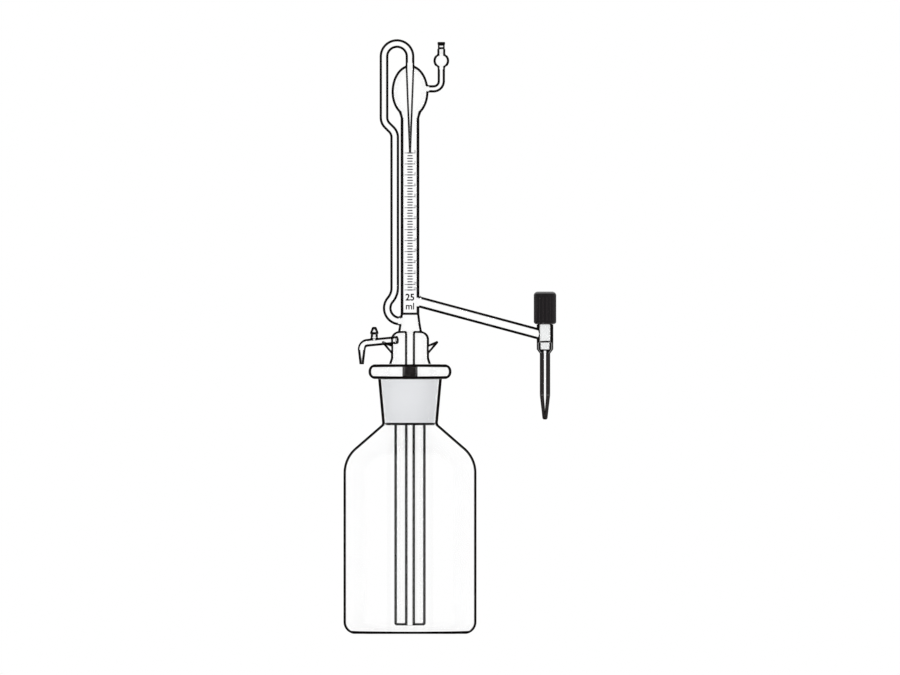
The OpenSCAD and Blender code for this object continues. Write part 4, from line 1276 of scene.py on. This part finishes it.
def core_outline(s, z):
    """Outside of the bell, chamber, graduated tube and bulb, from the axis round to it."""
    bell, riser, t, b = s.bell, s.riser, s.tube, s.bulb
    waist = t.radius + (riser.chamber_foot - t.radius) * riser.waist
    low = [
        (0, z.cone_top, 0), (bell.foot_radius, z.cone_top, 0),
        (bell.radius, z.cone_top + bell.foot_height, bell.foot_height),
        (bell.radius, z.bell_top - bell.shoulder_fall, bell.shoulder_round),
        (riser.chamber_foot, z.bell_top, MM / 8),
        (waist, z.bell_top + riser.chamber_height / 2, riser.chamber_height),
        (t.radius, z.tube, 0), (0, z.tube, 0)]
    lower = rounded(low)[:-1]
    seal_low = s.looks.line * SEAL_DOWN
    slant = (waist - t.radius) / (riser.chamber_height / 2) * seal_low
    lower.insert(-1, (t.radius + slant, z.tube - seal_low))
    lower.append((t.radius, z.tube + s.looks.line * SEAL_UP))
    foot_angle = math.acos((t.radius + b.foot) / b.radius)
    sides = bulb_side(s, z, 0, -foot_angle, z.hole_angle - math.radians(6))
    first = sides[0]
    fillet = rounded([
        (t.radius, z.tube_top - 4 * MM, 0), (t.radius, z.tube_top + 0.2 * MM, 3.2 * MM),
        (first[0], first[1], 0)])[1:-1]
    crown = rounded([
        (sides[-1][0], sides[-1][1], 0), (riser.radius, z.bulb_top, b.fillet),
        (riser.radius, z.bulb_top + 3 * MM, 0)])[1:]
    return lower + fillet + sides + crown + [(0, z.bulb_top + 3 * MM)]


def tube_cavity(s, z):
    """Inside of the graduated tube and the bulb."""
    t, b = s.tube, s.bulb
    foot_angle = math.acos((t.radius + b.foot) / b.radius)
    top_angle = z.hole_angle
    sides = bulb_side(s, z, b.wall, -foot_angle, top_angle)
    first = sides[0]
    fillet = rounded([
        (t.bore, z.tube_top - 4 * MM, 0), (t.bore, z.tube_top + 0.2 * MM, 4 * MM),
        (first[0], first[1], 0)])[1:-1]
    floor = rounded([
        (0, z.tube + t.floor, 0), (t.bore, z.tube + t.floor, t.floor), (t.bore, z.tube_top, 0)])
    return floor[:-1] + fillet + sides + [(0, sides[-1][1])]


def chamber_cavity(s, z):
    riser, t = s.riser, s.tube
    w = riser.chamber_wall
    waist = t.radius + (riser.chamber_foot - t.radius) * riser.waist
    ease = 1.2 * MM
    return rounded([
        (0, z.bell_top, 0), (riser.chamber_foot - w, z.bell_top, ease),
        (waist - w, z.bell_top + riser.chamber_height / 2, riser.chamber_height),
        (t.radius - w, z.tube, ease), (0, z.tube, 0)])


def bell_cavity(s, z):
    """Inside of the bell, round the trumpet of the feed tube."""
    bell = s.bell
    r = bell.radius - bell.wall
    top = z.bell_top - bell.ceiling
    return rounded([
        (0, z.cone_top - OVERRUN, 0), (bell.foot_radius - bell.wall, z.cone_top - OVERRUN, 0),
        (bell.foot_radius - bell.wall, z.cone_top, 0),
        (r, z.cone_top + bell.foot_height, bell.foot_height),
        (r, top - bell.shoulder_fall, bell.shoulder_round - bell.wall),
        (s.riser.chamber_foot - bell.wall, top, MM), (0, top, 0)])


def valve_outline(s, z):
    """Outside of the barrel and the delivery tip."""
    v = s.valve
    lip = v.knob_gap
    return rounded([
        (0, z.tip, 0), (v.tip_end, z.tip, v.tip_end * 0.75), (v.tip, z.taper, 12 * MM),
        (v.tip, z.tip_top, v.taper / 4), (v.barrel, z.foot, v.taper / 3), (v.barrel, z.seat, 0),
        (v.barrel, z.shoulder, lip), (v.neck, z.shoulder, 0), (v.neck, z.barrel_top, lip),
        (0, z.barrel_top, 0)])


def valve_cavity(s, z):
    v = s.valve
    guide = v.spindle + v.gap
    z_guide = z.barrel_top - v.guide
    return rounded([
        (0, z.tip - OVERRUN, 0), (v.tip_end_bore, z.tip - OVERRUN, 0),
        (v.tip_end_bore, z.tip, 0), (v.tip_bore, z.taper, 0),
        (v.tip_bore, z.foot - v.seat_cone, 0), (v.seat_bore, z.foot, 0), (v.seat_bore, z.seat, 0),
        (v.bore, z.seat, 0), (v.bore, z_guide, 0), (guide, z_guide, 0),
        (guide, z.barrel_top + OVERRUN, 0), (0, z.barrel_top + OVERRUN, 0)])


def make_head_glass(s):
    """The flame-sealed glass of the head, from the bell up to the crown and out to the tip."""
    z, looks = levels(s), s.looks
    bell, riser, t, b, g = s.bell, s.riser, s.tube, s.bulb, s.guard
    v, n, f = s.valve, s.inlet, s.feed
    line, heavy = looks.line, looks.heavy_line
    root_line, shaft_line = line * 0.6, line * 0.8
    z_arm_root = z.arm - t.radius * math.tan(v.arm_tilt)
    z_shaft = z.bulb_top - 6 * MM
    # offsets of the painted highlight on the barrel's foot
    painted_highlight = (6.2 * MM, 7.0 * MM)
    tip_line, z_bore_end = 0.9 * MM, z.tip + 7.5 * MM
    turn = Matrix.Rotation(math.pi + n.turn, 4, "Z")
    horn_foot = (bell.radius - bell.horn_depth, z.cone_top + bell.horn_height)
    horn_end = (bell.radius + bell.horn_reach, horn_foot[1] + bell.horn_climb)
    rings = {
        "bell": glass_material("bell_glass", looks, rim=bell.shoulder_round,
                               rim_line=looks.shoulder_line, clear=f.radius - line / 2),
        "chamber": glass_material("chamber_glass", looks,
                                  gap=(-1, z.riser, riser.radius - riser.wall)),
        # painted shade at the seal of the graduated tube to the chamber
        "seal": dark_glass_material("tube_seal_glass", looks),
        "tube": glass_material("graduated_glass", looks, heavy, radius=t.radius,
                               gap=(1, z_arm_root, v.arm_radius - v.arm_wall + MM * 0.4)),
        "bulb": glass_material("bulb_glass", looks, gap=(1, z.guard, g.radius - g.wall),
                               shaft=(riser.radius - shaft_line, z_shaft)),
        "riser": glass_material("riser_glass", looks, radius=riser.radius),
        "guard": glass_material("guard_glass", looks, radius=g.radius),
        "ball": glass_material("guard_ball_glass", looks, axis=(g.upright, 0),
                               shaft=(g.radius - shaft_line, z.guard)),
        "arm": glass_material("arm_glass", looks, radius=v.arm_radius),
        "arm_root": glass_material("arm_root_glass", looks, radius=v.arm_radius,
                                   gap=(1, z_arm_root, v.arm_radius - root_line)),
        "riser_root": glass_material("riser_root_glass", looks, radius=riser.radius,
                                     gap=(-1, z.riser, riser.radius - root_line)),
        "guard_root": glass_material("guard_root_glass", looks, radius=g.radius,
                                     gap=(1, z.guard, g.radius - root_line)),
        "barrel": glass_material("barrel_glass", looks, v.barrel - v.spindle - MM / 10,
                                 radius=v.barrel),
        "seat": seat_material("barrel_seat_glass", looks, (v.reach, 0), v.plug + MM / 5,
                              v.tip_bore, painted_highlight, z.foot, (v.barrel - v.tip) / v.taper),
        "tip": capillary_material("capillary_glass", looks, (v.reach, 0), v.tip_bore * 0.85,
                                  tip_line, z.taper, z.taper, z_bore_end),
        "inlet": glass_material("inlet_glass", looks, radius=n.radius, turn=n.turn),
        "vent": glass_material("vent_glass", looks, radius=n.vent_radius),
        # painted shade at the inlet's inner end, the horns' tips and the nozzle's end
        "lip": dark_glass_material("inlet_lip_glass", looks),
        "nozzle": glass_material("nozzle_glass", looks, axis=turn.to_3x3() @ Vector(
            (n.nozzle_reach, 0, 0))),
        "horn": horn_material("horn_glass", looks, bell, horn_foot, horn_end),
        "feed": glass_material("feed_glass", looks, radius=f.radius, rim=2 * MM,
                               clear=f.radius - line * 0.75),
        "jet": glass_material("jet_glass", looks, looks.jet_line),
        "inner": bore_material("inner_glass", looks),
    }
    inner = rings["inner"]
    core = formed("burette_head_glass", turned(core_outline(s, z)), rings["bell"])
    heights = (z.bell_top + MM / 20, z.tube - line * SEAL_DOWN, z.tube + line * SEAL_UP,
               z.tube_top)
    zoned(core, [rings[k] for k in ("bell", "chamber", "seal", "tube", "bulb")],
          lambda p: sum(p.z > top for top in heights))

    path = riser_path(s, z)
    outside = [tube("riser_out", [(-riser.chamber_foot / 2, z.riser)] + path + [
        (0, z.bulb_top - 3 * MM)], riser.radius, rings["riser"])]
    entry = -(t.radius + (riser.chamber_foot - t.radius) * 0.35)
    outside.append(flare("riser_flare", (entry + 0.5 * MM, z.riser), (entry - MM, z.riser),
                         riser.radius, 2.2 * MM, rings["riser_root"]))
    # side arm with its fused root
    fall = math.tan(v.arm_tilt)
    low_end = (v.reach, z.valve)
    outside.append(rod("arm_out", (0, z.arm), low_end, v.arm_radius, rings["arm"]))
    root = t.radius * 0.93
    outside.append(flare("arm_flare", (root, z.arm - root * fall),
                         (root + MM, z.arm - (root + MM) * fall), v.arm_radius, b.fillet,
                         rings["arm_root"]))
    # barrel and tip
    barrel = formed("barrel_out", turned(valve_outline(s, z)), rings["barrel"], at(v.reach))
    zoned(barrel, [rings["tip"], rings["seat"], rings["barrel"]],
          lambda p: (p.z > z.tip_top + 0.4 * MM) + (p.z > z.seat))
    outside.append(barrel)
    # guard tube with its ball and neck
    turn_centre = (g.upright - g.bend, z.guard + g.bend)
    guard_path = [(b.radius / 2, z.guard)] + around(turn_centre, g.bend, -math.pi / 2, 0, 16)
    outside.append(tube("guard_out", guard_path + [(g.upright, z.ball - g.ball / 2)], g.radius,
                        rings["guard"]))
    outside.append(flare("guard_flare", (b.radius - 0.9 * MM, z.guard),
                         (b.radius + MM, z.guard), g.radius, b.fillet, rings["guard_root"]))
    outside.append(formed("ball_out", turned(ball_outline(s, z, 0)), rings["ball"],
                          at(g.upright)))
    # horns
    for way in (1, -1):
        root = (way * horn_foot[0], horn_foot[1])
        tip = (way * horn_end[0], horn_end[1])
        run = math.dist(root, tip)
        horn = formed("horn", horn_form(bell, run), rings["horn"])
        zoned(horn, [rings["horn"], rings["lip"]], lambda p: int(p.z > run - bell.horn_tip))
        horn.data.transform(along(root, tip))
        outside.append(horn)

    cavities = [
        formed("bell_in", turned(bell_cavity(s, z)), inner),
        formed("chamber_in", turned(chamber_cavity(s, z)), inner),
        formed("tube_in", turned(tube_cavity(s, z)), inner),
    ]

    # inlet, feed tube and jet, which stand inside the hollows
    run = (n.nozzle_reach - n.bend - n.start + n.bend * math.sin(n.tilt)) / math.cos(n.tilt)
    begin = (n.start, z.inlet)
    end = (n.start + run * math.cos(n.tilt), z.inlet - run * math.sin(n.tilt))
    centre = (end[0] - n.bend * math.sin(n.tilt), end[1] - n.bend * math.cos(n.tilt))
    arc = around(centre, n.bend, math.pi / 2 - n.tilt, 0, 16)
    inlet_path = arc + [(n.nozzle_reach, centre[1] - 0.5 * MM)]
    z_nozzle = centre[1] - n.nozzle_length
    z_vent_axis = z.inlet - (n.vent_reach - n.start) * math.tan(n.tilt)
    z_vent = z_vent_axis + n.vent_height
    vent_foot = (n.vent_reach, z_vent_axis + n.radius * 0.9)
    trumpet = f.radius + 2.6 * MM
    z_ceiling = z.bell_top - bell.ceiling
    z_feed = z.butt + f.butt_gap / 2
    slant = Vector((math.cos(n.tilt), -math.sin(n.tilt)))
    inner_end = Vector(begin) + n.trim * slant
    back = inner_end - MM / 10 * slant
    front = inner_end + n.lip * slant
    end_line = 1.4 * MM
    z_line = z_nozzle + end_line
    slim = n.nozzle_end + (n.radius - n.nozzle_end) * end_line / n.nozzle_length
    nozzle = formed("nozzle_out", turned(rounded([
        (0, z_nozzle, 0), (n.nozzle_end, z_nozzle, end_line / 2), (slim, z_line, 0),
        (n.radius, centre[1], 0), (0, centre[1], 0)]), TUBE_SIDES), rings["nozzle"])
    zoned(nozzle, [rings["nozzle"], rings["lip"]], lambda p: int(p.z < z_line))
    nozzle.data.transform(turn @ at(n.nozzle_reach))
    proud = 0.15 * MM
    lip = rod("inlet_lip", tuple(back), tuple(front), n.radius + proud, rings["lip"])
    zoned(lip, [rings["lip"], rings["inlet"]], lambda p: int(p.y < n.radius * 0.1))
    lip.data.transform(turn)
    inside = [
        tube("inlet_out", [tuple(inner_end)] + inlet_path, n.radius, rings["inlet"], turn),
        lip,
        nozzle,
        rod("vent_out", (n.vent_reach, z_vent_axis), (n.vent_reach, z_vent), n.vent_radius,
            rings["vent"], turn),
        flare("vent_flare", vent_foot, (vent_foot[0], z_vent), n.vent_radius, 1.4 * MM,
              rings["inlet"], turn),
        formed("feed_out", turned(rounded([
            (0, z_feed, 0), (f.radius, z_feed, f.wall / 3), (f.radius, z_ceiling, 2 * MM),
            (trumpet, z_ceiling, 0), (trumpet, z_ceiling + bell.ceiling / 2, 0),
            (0, z_ceiling + bell.ceiling / 2, 0)]), TUBE_SIDES), rings["feed"]),
        formed("jet_out", turned(rounded([
            (0, z.zero, 0), (b.jet_tip, z.zero, 0.2 * MM), (riser.radius, z.jet, 0),
            (riser.radius, z.bulb_top + MM, 0), (0, z.bulb_top + MM, 0)]), TUBE_SIDES),
            rings["jet"]),
    ]

    bore_r, feed_bore = riser.radius - riser.wall, f.radius - f.wall
    arm_bore, inlet_bore = v.arm_radius - v.arm_wall, n.radius - n.wall
    guard_bore, vent_bore = g.radius - g.wall, n.vent_radius - n.wall
    before = inner_end - OVERRUN * slant
    bores = [
        tube("riser_bore", [(-riser.chamber_foot / 2, z.riser)] + path + [(0, z.jet - MM)],
             bore_r, inner),
        formed("jet_bore", turned([
            (0, z.zero - OVERRUN), (b.jet_bore, z.zero - OVERRUN), (b.jet_bore, z.zero),
            (bore_r, z.jet), (0, z.jet)], TUBE_SIDES), inner),
        formed("feed_bore", turned(rounded([
            (0, z_feed - OVERRUN, 0), (feed_bore, z_feed - OVERRUN, 0),
            (feed_bore, z.bell_top, bell.wall), (feed_bore + 3 * MM, z.bell_top, 0),
            (feed_bore + 3 * MM, z.bell_top + MM, 0), (0, z.bell_top + MM, 0)]), TUBE_SIDES),
            inner),
        rod("arm_bore", (t.bore * 0.6, z.arm - t.bore * 0.6 * fall), low_end, arm_bore, inner),
        formed("valve_bore", turned(valve_cavity(s, z), TUBE_SIDES), inner, at(v.reach)),
        tube("guard_bore", [(b.radius * 0.6, z.guard)] + guard_path[1:] + [
            (g.upright, z.ball)], guard_bore, inner),
        formed("ball_bore", turned(ball_outline(s, z, g.wall)), inner, at(g.upright)),
        tube("inlet_bore", [tuple(before)] + inlet_path, inlet_bore, inner, turn),
        formed("nozzle_bore", turned([
            (0, z_nozzle - OVERRUN), (n.nozzle_bore, z_nozzle - OVERRUN),
            (n.nozzle_bore, z_nozzle), (inlet_bore, centre[1]), (0, centre[1])], TUBE_SIDES),
            inner, turn @ at(n.nozzle_reach)),
        rod("vent_bore", (n.vent_reach, z_vent_axis), (n.vent_reach, z_vent + OVERRUN),
            vent_bore, inner, turn),
    ]
    joined(core, [
        ("UNION", outside), ("DIFFERENCE", cavities), ("UNION", inside), ("DIFFERENCE", bores)])
    return fitted(
        smooth(core), "burette_head", "clear_glass", "bell", "retaining_hooks",
        "air_inlet_tube", "neck_chamber", "feed_tube", "riser_tube", "zero_bulb", "zero_jet",
        "graduated_tube", "guard_tube", "side_arm", "valve_barrel", "delivery_tip")


def ball_outline(s, z, wall):
    """The guard tube's ball and neck, outside for no wall and inside for its wall."""
    g = s.guard
    ball = g.ball - wall
    neck = g.neck_bore if wall else g.neck
    stem = g.radius - wall
    low = math.acos(stem * 1.5 / ball)
    high = math.acos(neck * 1.4 / ball)
    end = z.mouth + (OVERRUN if wall else 0)
    foot = z.ball - ball * math.sin(low)
    top = z.ball + ball * math.sin(high)
    ease = 2.4 * MM
    sides = around((0, z.ball), ball, -low, high, 24)
    start = rounded([(stem, foot - 3 * MM, 0), (stem, foot - 0.2 * MM, ease), (*sides[1], 0)], 5)
    finish = rounded([(*sides[-2], 0), (neck, top + 0.2 * MM, ease), (neck, end, 0)], 5)
    return [(0, foot - 3 * MM)] + start[:-1] + sides[1:-1] + finish[1:] + [(0, end)]


def horn_form(bell, reach):
    """A thorn of glass along Z with a round tip."""
    points = [(0, 0)]
    for i in range(13):
        t = i / 12
        r = bell.horn_tip + (bell.horn_root - bell.horn_tip) * (1 - t)
        points.append((r, reach * t))
    return turned(points + around((0, reach), bell.horn_tip, 0, math.pi / 2)[1:-1] + [
        (0, reach + bell.horn_tip)], TUBE_SIDES)


def make_graduations(s):
    z, t = levels(s), s.tube
    enamel = enamel_material("grey_enamel", s.looks.enamel)
    lines = t.capacity * t.lines_per_ml + 1
    tree, identifiers = scale_tree()
    obj = grown("graduation_lines", bpy.data.meshes.new("graduation_lines"), tree, identifiers, {
        "Lines": lines, "Pitch": t.scale_length / (lines - 1), "Zero Height": z.zero,
        "Tube Radius": t.radius, "Depth": t.line_depth, "Width": t.line_width,
        "Bold": t.bold, "Long": t.long_line, "Middle": t.middle_line, "Short": t.short_line,
        "Lines per Unit": t.lines_per_ml, "Enamel": enamel})
    return fitted(obj, "burette_head", "grey_enamel", "graduation_scale")


def wrapped_text(words, height, middle, z_low, radius, depth, bold=0.0):
    """A mesh of words bent round a tube's front, with its middle and foot where they belong."""
    curve = bpy.data.curves.new("words", "FONT")
    curve.body = words
    curve.size = height / 0.7
    curve.align_x = "CENTER"
    curve.extrude = depth / 2
    curve.offset = bold
    curve.resolution_u = 3
    text = bpy.data.objects.new("words", curve)
    bpy.context.scene.collection.objects.link(text)
    depsgraph = bpy.context.evaluated_depsgraph_get()
    mesh = bpy.data.meshes.new_from_object(text.evaluated_get(depsgraph))
    bpy.data.objects.remove(text)
    bpy.data.curves.remove(curve)
    for vertex in mesh.vertices:
        x, y, out = vertex.co
        turn = (x + middle) / radius
        r = radius + depth / 2 + out
        vertex.co = (r * math.sin(turn), -r * math.cos(turn), z_low + y)
    return mesh


def make_figures(s):
    """The scale's figures, and its volume and unit under it."""
    z, t = levels(s), s.tube
    pitch = t.scale_length / t.capacity
    edge = t.long_line / 2 - 0.6 * MM
    marks = [(str(n), n) for n in list(range(0, t.capacity, 2)) + [t.capacity]]
    meshes = [wrapped_text(word, t.figure_height, edge, z.zero - n * pitch + 0.5 * MM,
                           t.radius, t.line_depth) for word, n in marks]
    grey = enamel_material("figure_enamel", s.looks.enamel)
    black = enamel_material("unit_enamel", s.looks.edge)
    bold, half_bold = 0.25 * MM, 0.15 * MM
    unit = [
        wrapped_text(str(t.capacity), t.unit_height, 0, z.tube + 13.6 * MM, t.radius,
                     t.line_depth, bold),
        wrapped_text("ml", t.unit_height, 0, z.tube + 4.6 * MM, t.radius,
                     t.line_depth, half_bold),
    ]
    for name, parts, material in (("scale_figures", meshes, grey), ("scale_unit", unit, black)):
        bm = bmesh.new()
        for mesh in parts:
            bm.from_mesh(mesh)
            bpy.data.meshes.remove(mesh)
        bmesh.ops.remove_doubles(bm, verts=bm.verts, dist=TINY)
        bmesh.ops.recalc_face_normals(bm, faces=bm.faces)
        fitted(formed(name, bm, material), "burette_head", "grey_enamel")


def dressed(node, material):
    """Gives a CAD node that keeps its shape its own material."""
    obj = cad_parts[node]
    obj.data.materials.clear()
    obj.data.materials.append(material)


def make_caps(s):
    """The vent cap and the guard tube's stopper."""
    z, looks, n, g = levels(s), s.looks, s.inlet, s.guard
    z_axis = z.inlet - (n.vent_reach - n.start) * math.tan(n.tilt)
    z_vent = z_axis + n.vent_height
    bore = n.vent_radius - n.wall - n.plug_gap
    spigot = n.vent_height - n.radius - n.wall
    band = n.cap_height / 5
    turn = Matrix.Rotation(math.pi + n.turn, 4, "Z") @ at(n.vent_reach)
    cap_glass = silicone_material(
        "clear_silicone_cap", looks, 2 * MM, turn.translation[:2], z_vent - MM / 4,
        [(z_vent - MM / 2, z_vent + band * 1.3)])
    z_seat = z_vent + MM / 20
    cap = formed("vent_cap_dome", turned(rounded([
        (0, z_vent - spigot, 0), (bore, z_vent - spigot, bore / 4), (bore, z_seat, 0),
        (n.cap_radius, z_seat, 0), (n.cap_radius, z_vent + band, n.cap_height / 12),
        (n.cap_radius / 2, z_vent + n.cap_height, n.cap_radius / 3),
        (0, z_vent + n.cap_height, 0)]), TUBE_SIDES), cap_glass, turn)
    fitted(smooth(cap), "vent_cap", "clear_silicone", "vent_cap")

    plug = g.neck_bore - n.plug_gap
    z_head = z.mouth + g.stopper_body_height
    z_top = z_head + g.stopper_head_height
    lip = g.stopper_head_height / 4
    plug_glass = silicone_material(
        "clear_silicone_stopper", looks, 1.6 * MM, (g.upright, 0), z.mouth - MM / 4,
        [(z.mouth - 0.2 * MM, z.mouth + 1.8 * MM), (z_head - 0.7 * MM, z_top + MM)])
    stopper = formed("guard_stopper_plug", turned(rounded([
        (0, z.mouth - g.stopper_spigot, 0), (plug, z.mouth - g.stopper_spigot, lip),
        (plug, z.mouth, 0), (g.stopper_body, z.mouth, 0), (g.stopper_body, z_head, 0),
        (g.stopper_head, z_head, lip), (g.stopper_head, z_top, lip), (0, z_top, 0)]),
        TUBE_SIDES), plug_glass, at(g.upright))
    fitted(smooth(stopper), "guard_stopper", "clear_silicone", "guard_stopper")


def make_valve(s):
    z, v, looks = levels(s), s.valve, s.looks
    dressed("valve_spindle", fluoroplastic_material("white_fluoroplastic", looks.spindle))
    dressed("spindle_seals", rubber_material("black_rubber_ring", looks.rubber))
    knob = formed("valve_knob_cap", knob_form(s, z), knob_material(
        "black_moulded_plastic", looks, v.reach, v.knob - v.flute_depth,
        v.knob - v.flute_depth * 0.3, z.knob_top - v.knob_round), at(v.reach))
    fitted(smooth(knob, 50), "valve_stem", "black_plastic", "valve_knob")


def knob_form(s, z):
    """The knob with rounded flutes sunk into its side."""
    v = s.valve
    pocket = v.neck + v.knob_gap
    z_pocket = z.barrel_top + v.knob_gap
    z_spindle = z.knob_top - v.knob_cap
    outline = rounded([
        (pocket, z.knob, 0), (v.knob, z.knob, v.knob_foot_round),
        (v.knob, z.knob_top, v.knob_round), (0, z.knob_top, 0), (0, z_spindle, 0),
        (v.spindle, z_spindle, 0), (v.spindle, z_pocket, 0), (pocket, z_pocket, 0)])
    low, high = z.knob + v.knob_foot_round, z.knob_top - v.knob_round * 0.9
    rows = []
    for (r0, z0), (r1, z1) in zip(outline, outline[1:] + outline[:1]):
        rows.append((r0, z0))
        if abs(r0 - v.knob) < TINY and abs(r1 - v.knob) < TINY:
            rows += [(v.knob, z0 + (z1 - z0) * i / 16) for i in range(1, 16)]
    sides = v.flutes * 10
    bm = bmesh.new()
    rings = []
    for r, h in rows:
        if r < TINY:
            rings.append([bm.verts.new((0, 0, h))])
            continue
        fade = min(max((h - low) / (1.5 * MM), 0), 1) * min(max((high - h) / (2.5 * MM), 0), 1)
        depth = v.flute_depth * fade if r > v.knob - MM else 0
        ring = []
        for i in range(sides):
            turn = 2 * math.pi * i / sides
            wave = max(math.cos(turn * v.flutes), 0) ** 2
            reach = r - depth * wave
            ring.append(bm.verts.new((reach * math.cos(turn), reach * math.sin(turn), h)))
        rings.append(ring)
    for i, ring in enumerate(rings):
        skin(bm, ring, rings[(i + 1) % len(rings)])
    bmesh.ops.recalc_face_normals(bm, faces=bm.faces)
    return bm


# Stage


def floor_material(name):
    """A pale floor that takes the shadow and fades to the white ground further out."""
    material, bench = new_material(name)
    x, y, _ = split(bench, object_place(bench))
    reach = (x * x + y * y).root()
    far = smooth_step(bench, reach, 0.35, 1.4)
    speck = noise(bench, 40.0)
    tone = blend(bench, speck, (0.86, 0.86, 0.86, 1), (0.88, 0.88, 0.88, 1))
    near = principled(bench, Base_Color=tone, Roughness=0.8, Specular_IOR_Level=0.1)
    white = bench.out("ShaderNodeEmission", None, {"Color": WHITE, "Strength": 1.0})
    return finish_material(material, bench, blend_shaders(bench, far, near, white))


def make_stage(s):
    stage = s.stage
    bm = bmesh.new()
    bmesh.ops.create_circle(bm, cap_ends=True, radius=stage.floor, segments=96)
    floor = formed("floor", bm, floor_material("pale_floor"))

    world = bpy.data.worlds.new("white_room")
    bpy.context.scene.world = world
    world.use_nodes = True
    bench = Bench(world.node_tree)
    world.node_tree.nodes.clear()
    path = bench.node("ShaderNodeLightPath")
    camera, glossy, through = (Wire(bench, path.outputs[key]) for key in (
        "Is Camera Ray", "Is Glossy Ray", "Is Transmission Ray"))
    seen = camera.most(glossy).most(through)
    room = bench.out("ShaderNodeBackground", None, {"Color": WHITE, "Strength": stage.sky})
    ground = bench.out("ShaderNodeBackground", None, {"Color": WHITE, "Strength": 1.0})
    mixed = bench.out("ShaderNodeMixShader", None, {0: seen, 1: room, 2: ground})
    output = bench.node("ShaderNodeOutputWorld")
    world.node_tree.links.new(mixed.socket, output.inputs["Surface"])

    aim = Vector((stage.aim_x, 0, stage.aim_z))
    for name, place, power, size in (
            ("key_lamp", (-1.5, -1.9, 1.7), stage.key, 1.2),
            ("fill_lamp", (1.8, -1.6, 0.9), stage.fill, 1.4)):
        light = bpy.data.lights.new(name, "AREA")
        light.energy = power
        light.size = size
        lamp = bpy.data.objects.new(name, light)
        lamp.location = place
        lamp.rotation_euler = (aim - Vector(place)).to_track_quat("-Z", "Y").to_euler()
        bpy.context.scene.collection.objects.link(lamp)

    camera_data = bpy.data.cameras.new("camera")
    camera_data.type = "ORTHO"
    camera_data.ortho_scale = stage.view_width
    camera_data.clip_end = 20
    view = bpy.data.objects.new("camera", camera_data)
    view.location = (stage.aim_x, -stage.distance, stage.aim_z)
    view.rotation_euler = (math.pi / 2, 0, 0)
    bpy.context.scene.collection.objects.link(view)
    bpy.context.scene.camera = view
    bpy.context.scene.view_settings.view_transform = "Standard"
    bpy.context.scene.cycles.max_bounces = 24
    bpy.context.scene.cycles.transmission_bounces = 24
    bpy.context.scene.cycles.transparent_max_bounces = 48


# Operators and panel


class BURETTE_OT_stage(bpy.types.Operator):
    """Make the floor, the white room, the lamps and the camera"""
    bl_idname = "burette.stage"
    bl_label = "Stage"

    def execute(self, context):
        make_stage(settings())
        return {"FINISHED"}


class BURETTE_OT_bottle(bpy.types.Operator):
    """Make the reservoir bottle"""
    bl_idname = "burette.bottle"
    bl_label = "Reservoir bottle"

    def execute(self, context):
        make_bottle(settings())
        return {"FINISHED"}


class BURETTE_OT_drop_line(bpy.types.Operator):
    """Make the rubber sleeve, the drop tube and its jacket"""
    bl_idname = "burette.drop_line"
    bl_label = "Drop line"

    def execute(self, context):
        make_drop_line(settings())
        return {"FINISHED"}


class BURETTE_OT_ground_cone(bpy.types.Operator):
    """Make the ground cone"""
    bl_idname = "burette.ground_cone"
    bl_label = "Ground cone"

    def execute(self, context):
        make_ground_cone(settings())
        return {"FINISHED"}


class BURETTE_OT_head_glass(bpy.types.Operator):
    """Make the fused glass of the head"""
    bl_idname = "burette.head_glass"
    bl_label = "Head glass"

    def execute(self, context):
        make_head_glass(settings())
        return {"FINISHED"}


class BURETTE_OT_graduations(bpy.types.Operator):
    """Make the graduation lines"""
    bl_idname = "burette.graduations"
    bl_label = "Graduation lines"

    def execute(self, context):
        make_graduations(settings())
        return {"FINISHED"}


class BURETTE_OT_figures(bpy.types.Operator):
    """Make the scale's figures and its unit"""
    bl_idname = "burette.figures"
    bl_label = "Scale figures"

    def execute(self, context):
        make_figures(settings())
        return {"FINISHED"}


class BURETTE_OT_caps(bpy.types.Operator):
    """Finish the vent cap and the guard tube's stopper"""
    bl_idname = "burette.caps"
    bl_label = "Cap and stopper"

    def execute(self, context):
        make_caps(settings())
        return {"FINISHED"}


class BURETTE_OT_valve(bpy.types.Operator):
    """Make the knob and finish the spindle and its rings"""
    bl_idname = "burette.valve"
    bl_label = "Valve"

    def execute(self, context):
        make_valve(settings())
        return {"FINISHED"}


OPERATORS = (
    BURETTE_OT_stage, BURETTE_OT_bottle, BURETTE_OT_drop_line, BURETTE_OT_ground_cone,
    BURETTE_OT_head_glass, BURETTE_OT_graduations, BURETTE_OT_figures, BURETTE_OT_caps,
    BURETTE_OT_valve,
)


class BURETTE_PT_panel(bpy.types.Panel):
    """Lists the burette's pieces and their sizes"""
    bl_idname = "BURETTE_PT_panel"
    bl_label = "Burette"
    bl_space_type = "VIEW_3D"
    bl_region_type = "UI"
    bl_category = "Burette"

    def draw(self, context):
        layout = self.layout
        for operator in OPERATORS:
            layout.operator(operator.bl_idname)
        for key, group in GROUPS.items():
            box = layout.box()
            box.label(text=key.capitalize())
            for name in group.__annotations__:
                box.prop(getattr(context.scene.burette, key), name)


CLASSES = (*GROUPS.values(), BURETTE_PG_settings, *OPERATORS, BURETTE_PT_panel)


def register():
    for cls in CLASSES:
        bpy.utils.register_class(cls)
    bpy.types.Scene.burette = bpy.props.PointerProperty(type=BURETTE_PG_settings)


def unregister():
    del bpy.types.Scene.burette
    for cls in reversed(CLASSES):
        bpy.utils.unregister_class(cls)


def main():
    register()
    for operator in OPERATORS:
        group, name = operator.bl_idname.split(".")
        getattr(getattr(bpy.ops, group), name)()


if __name__ == "__main__":
    main()
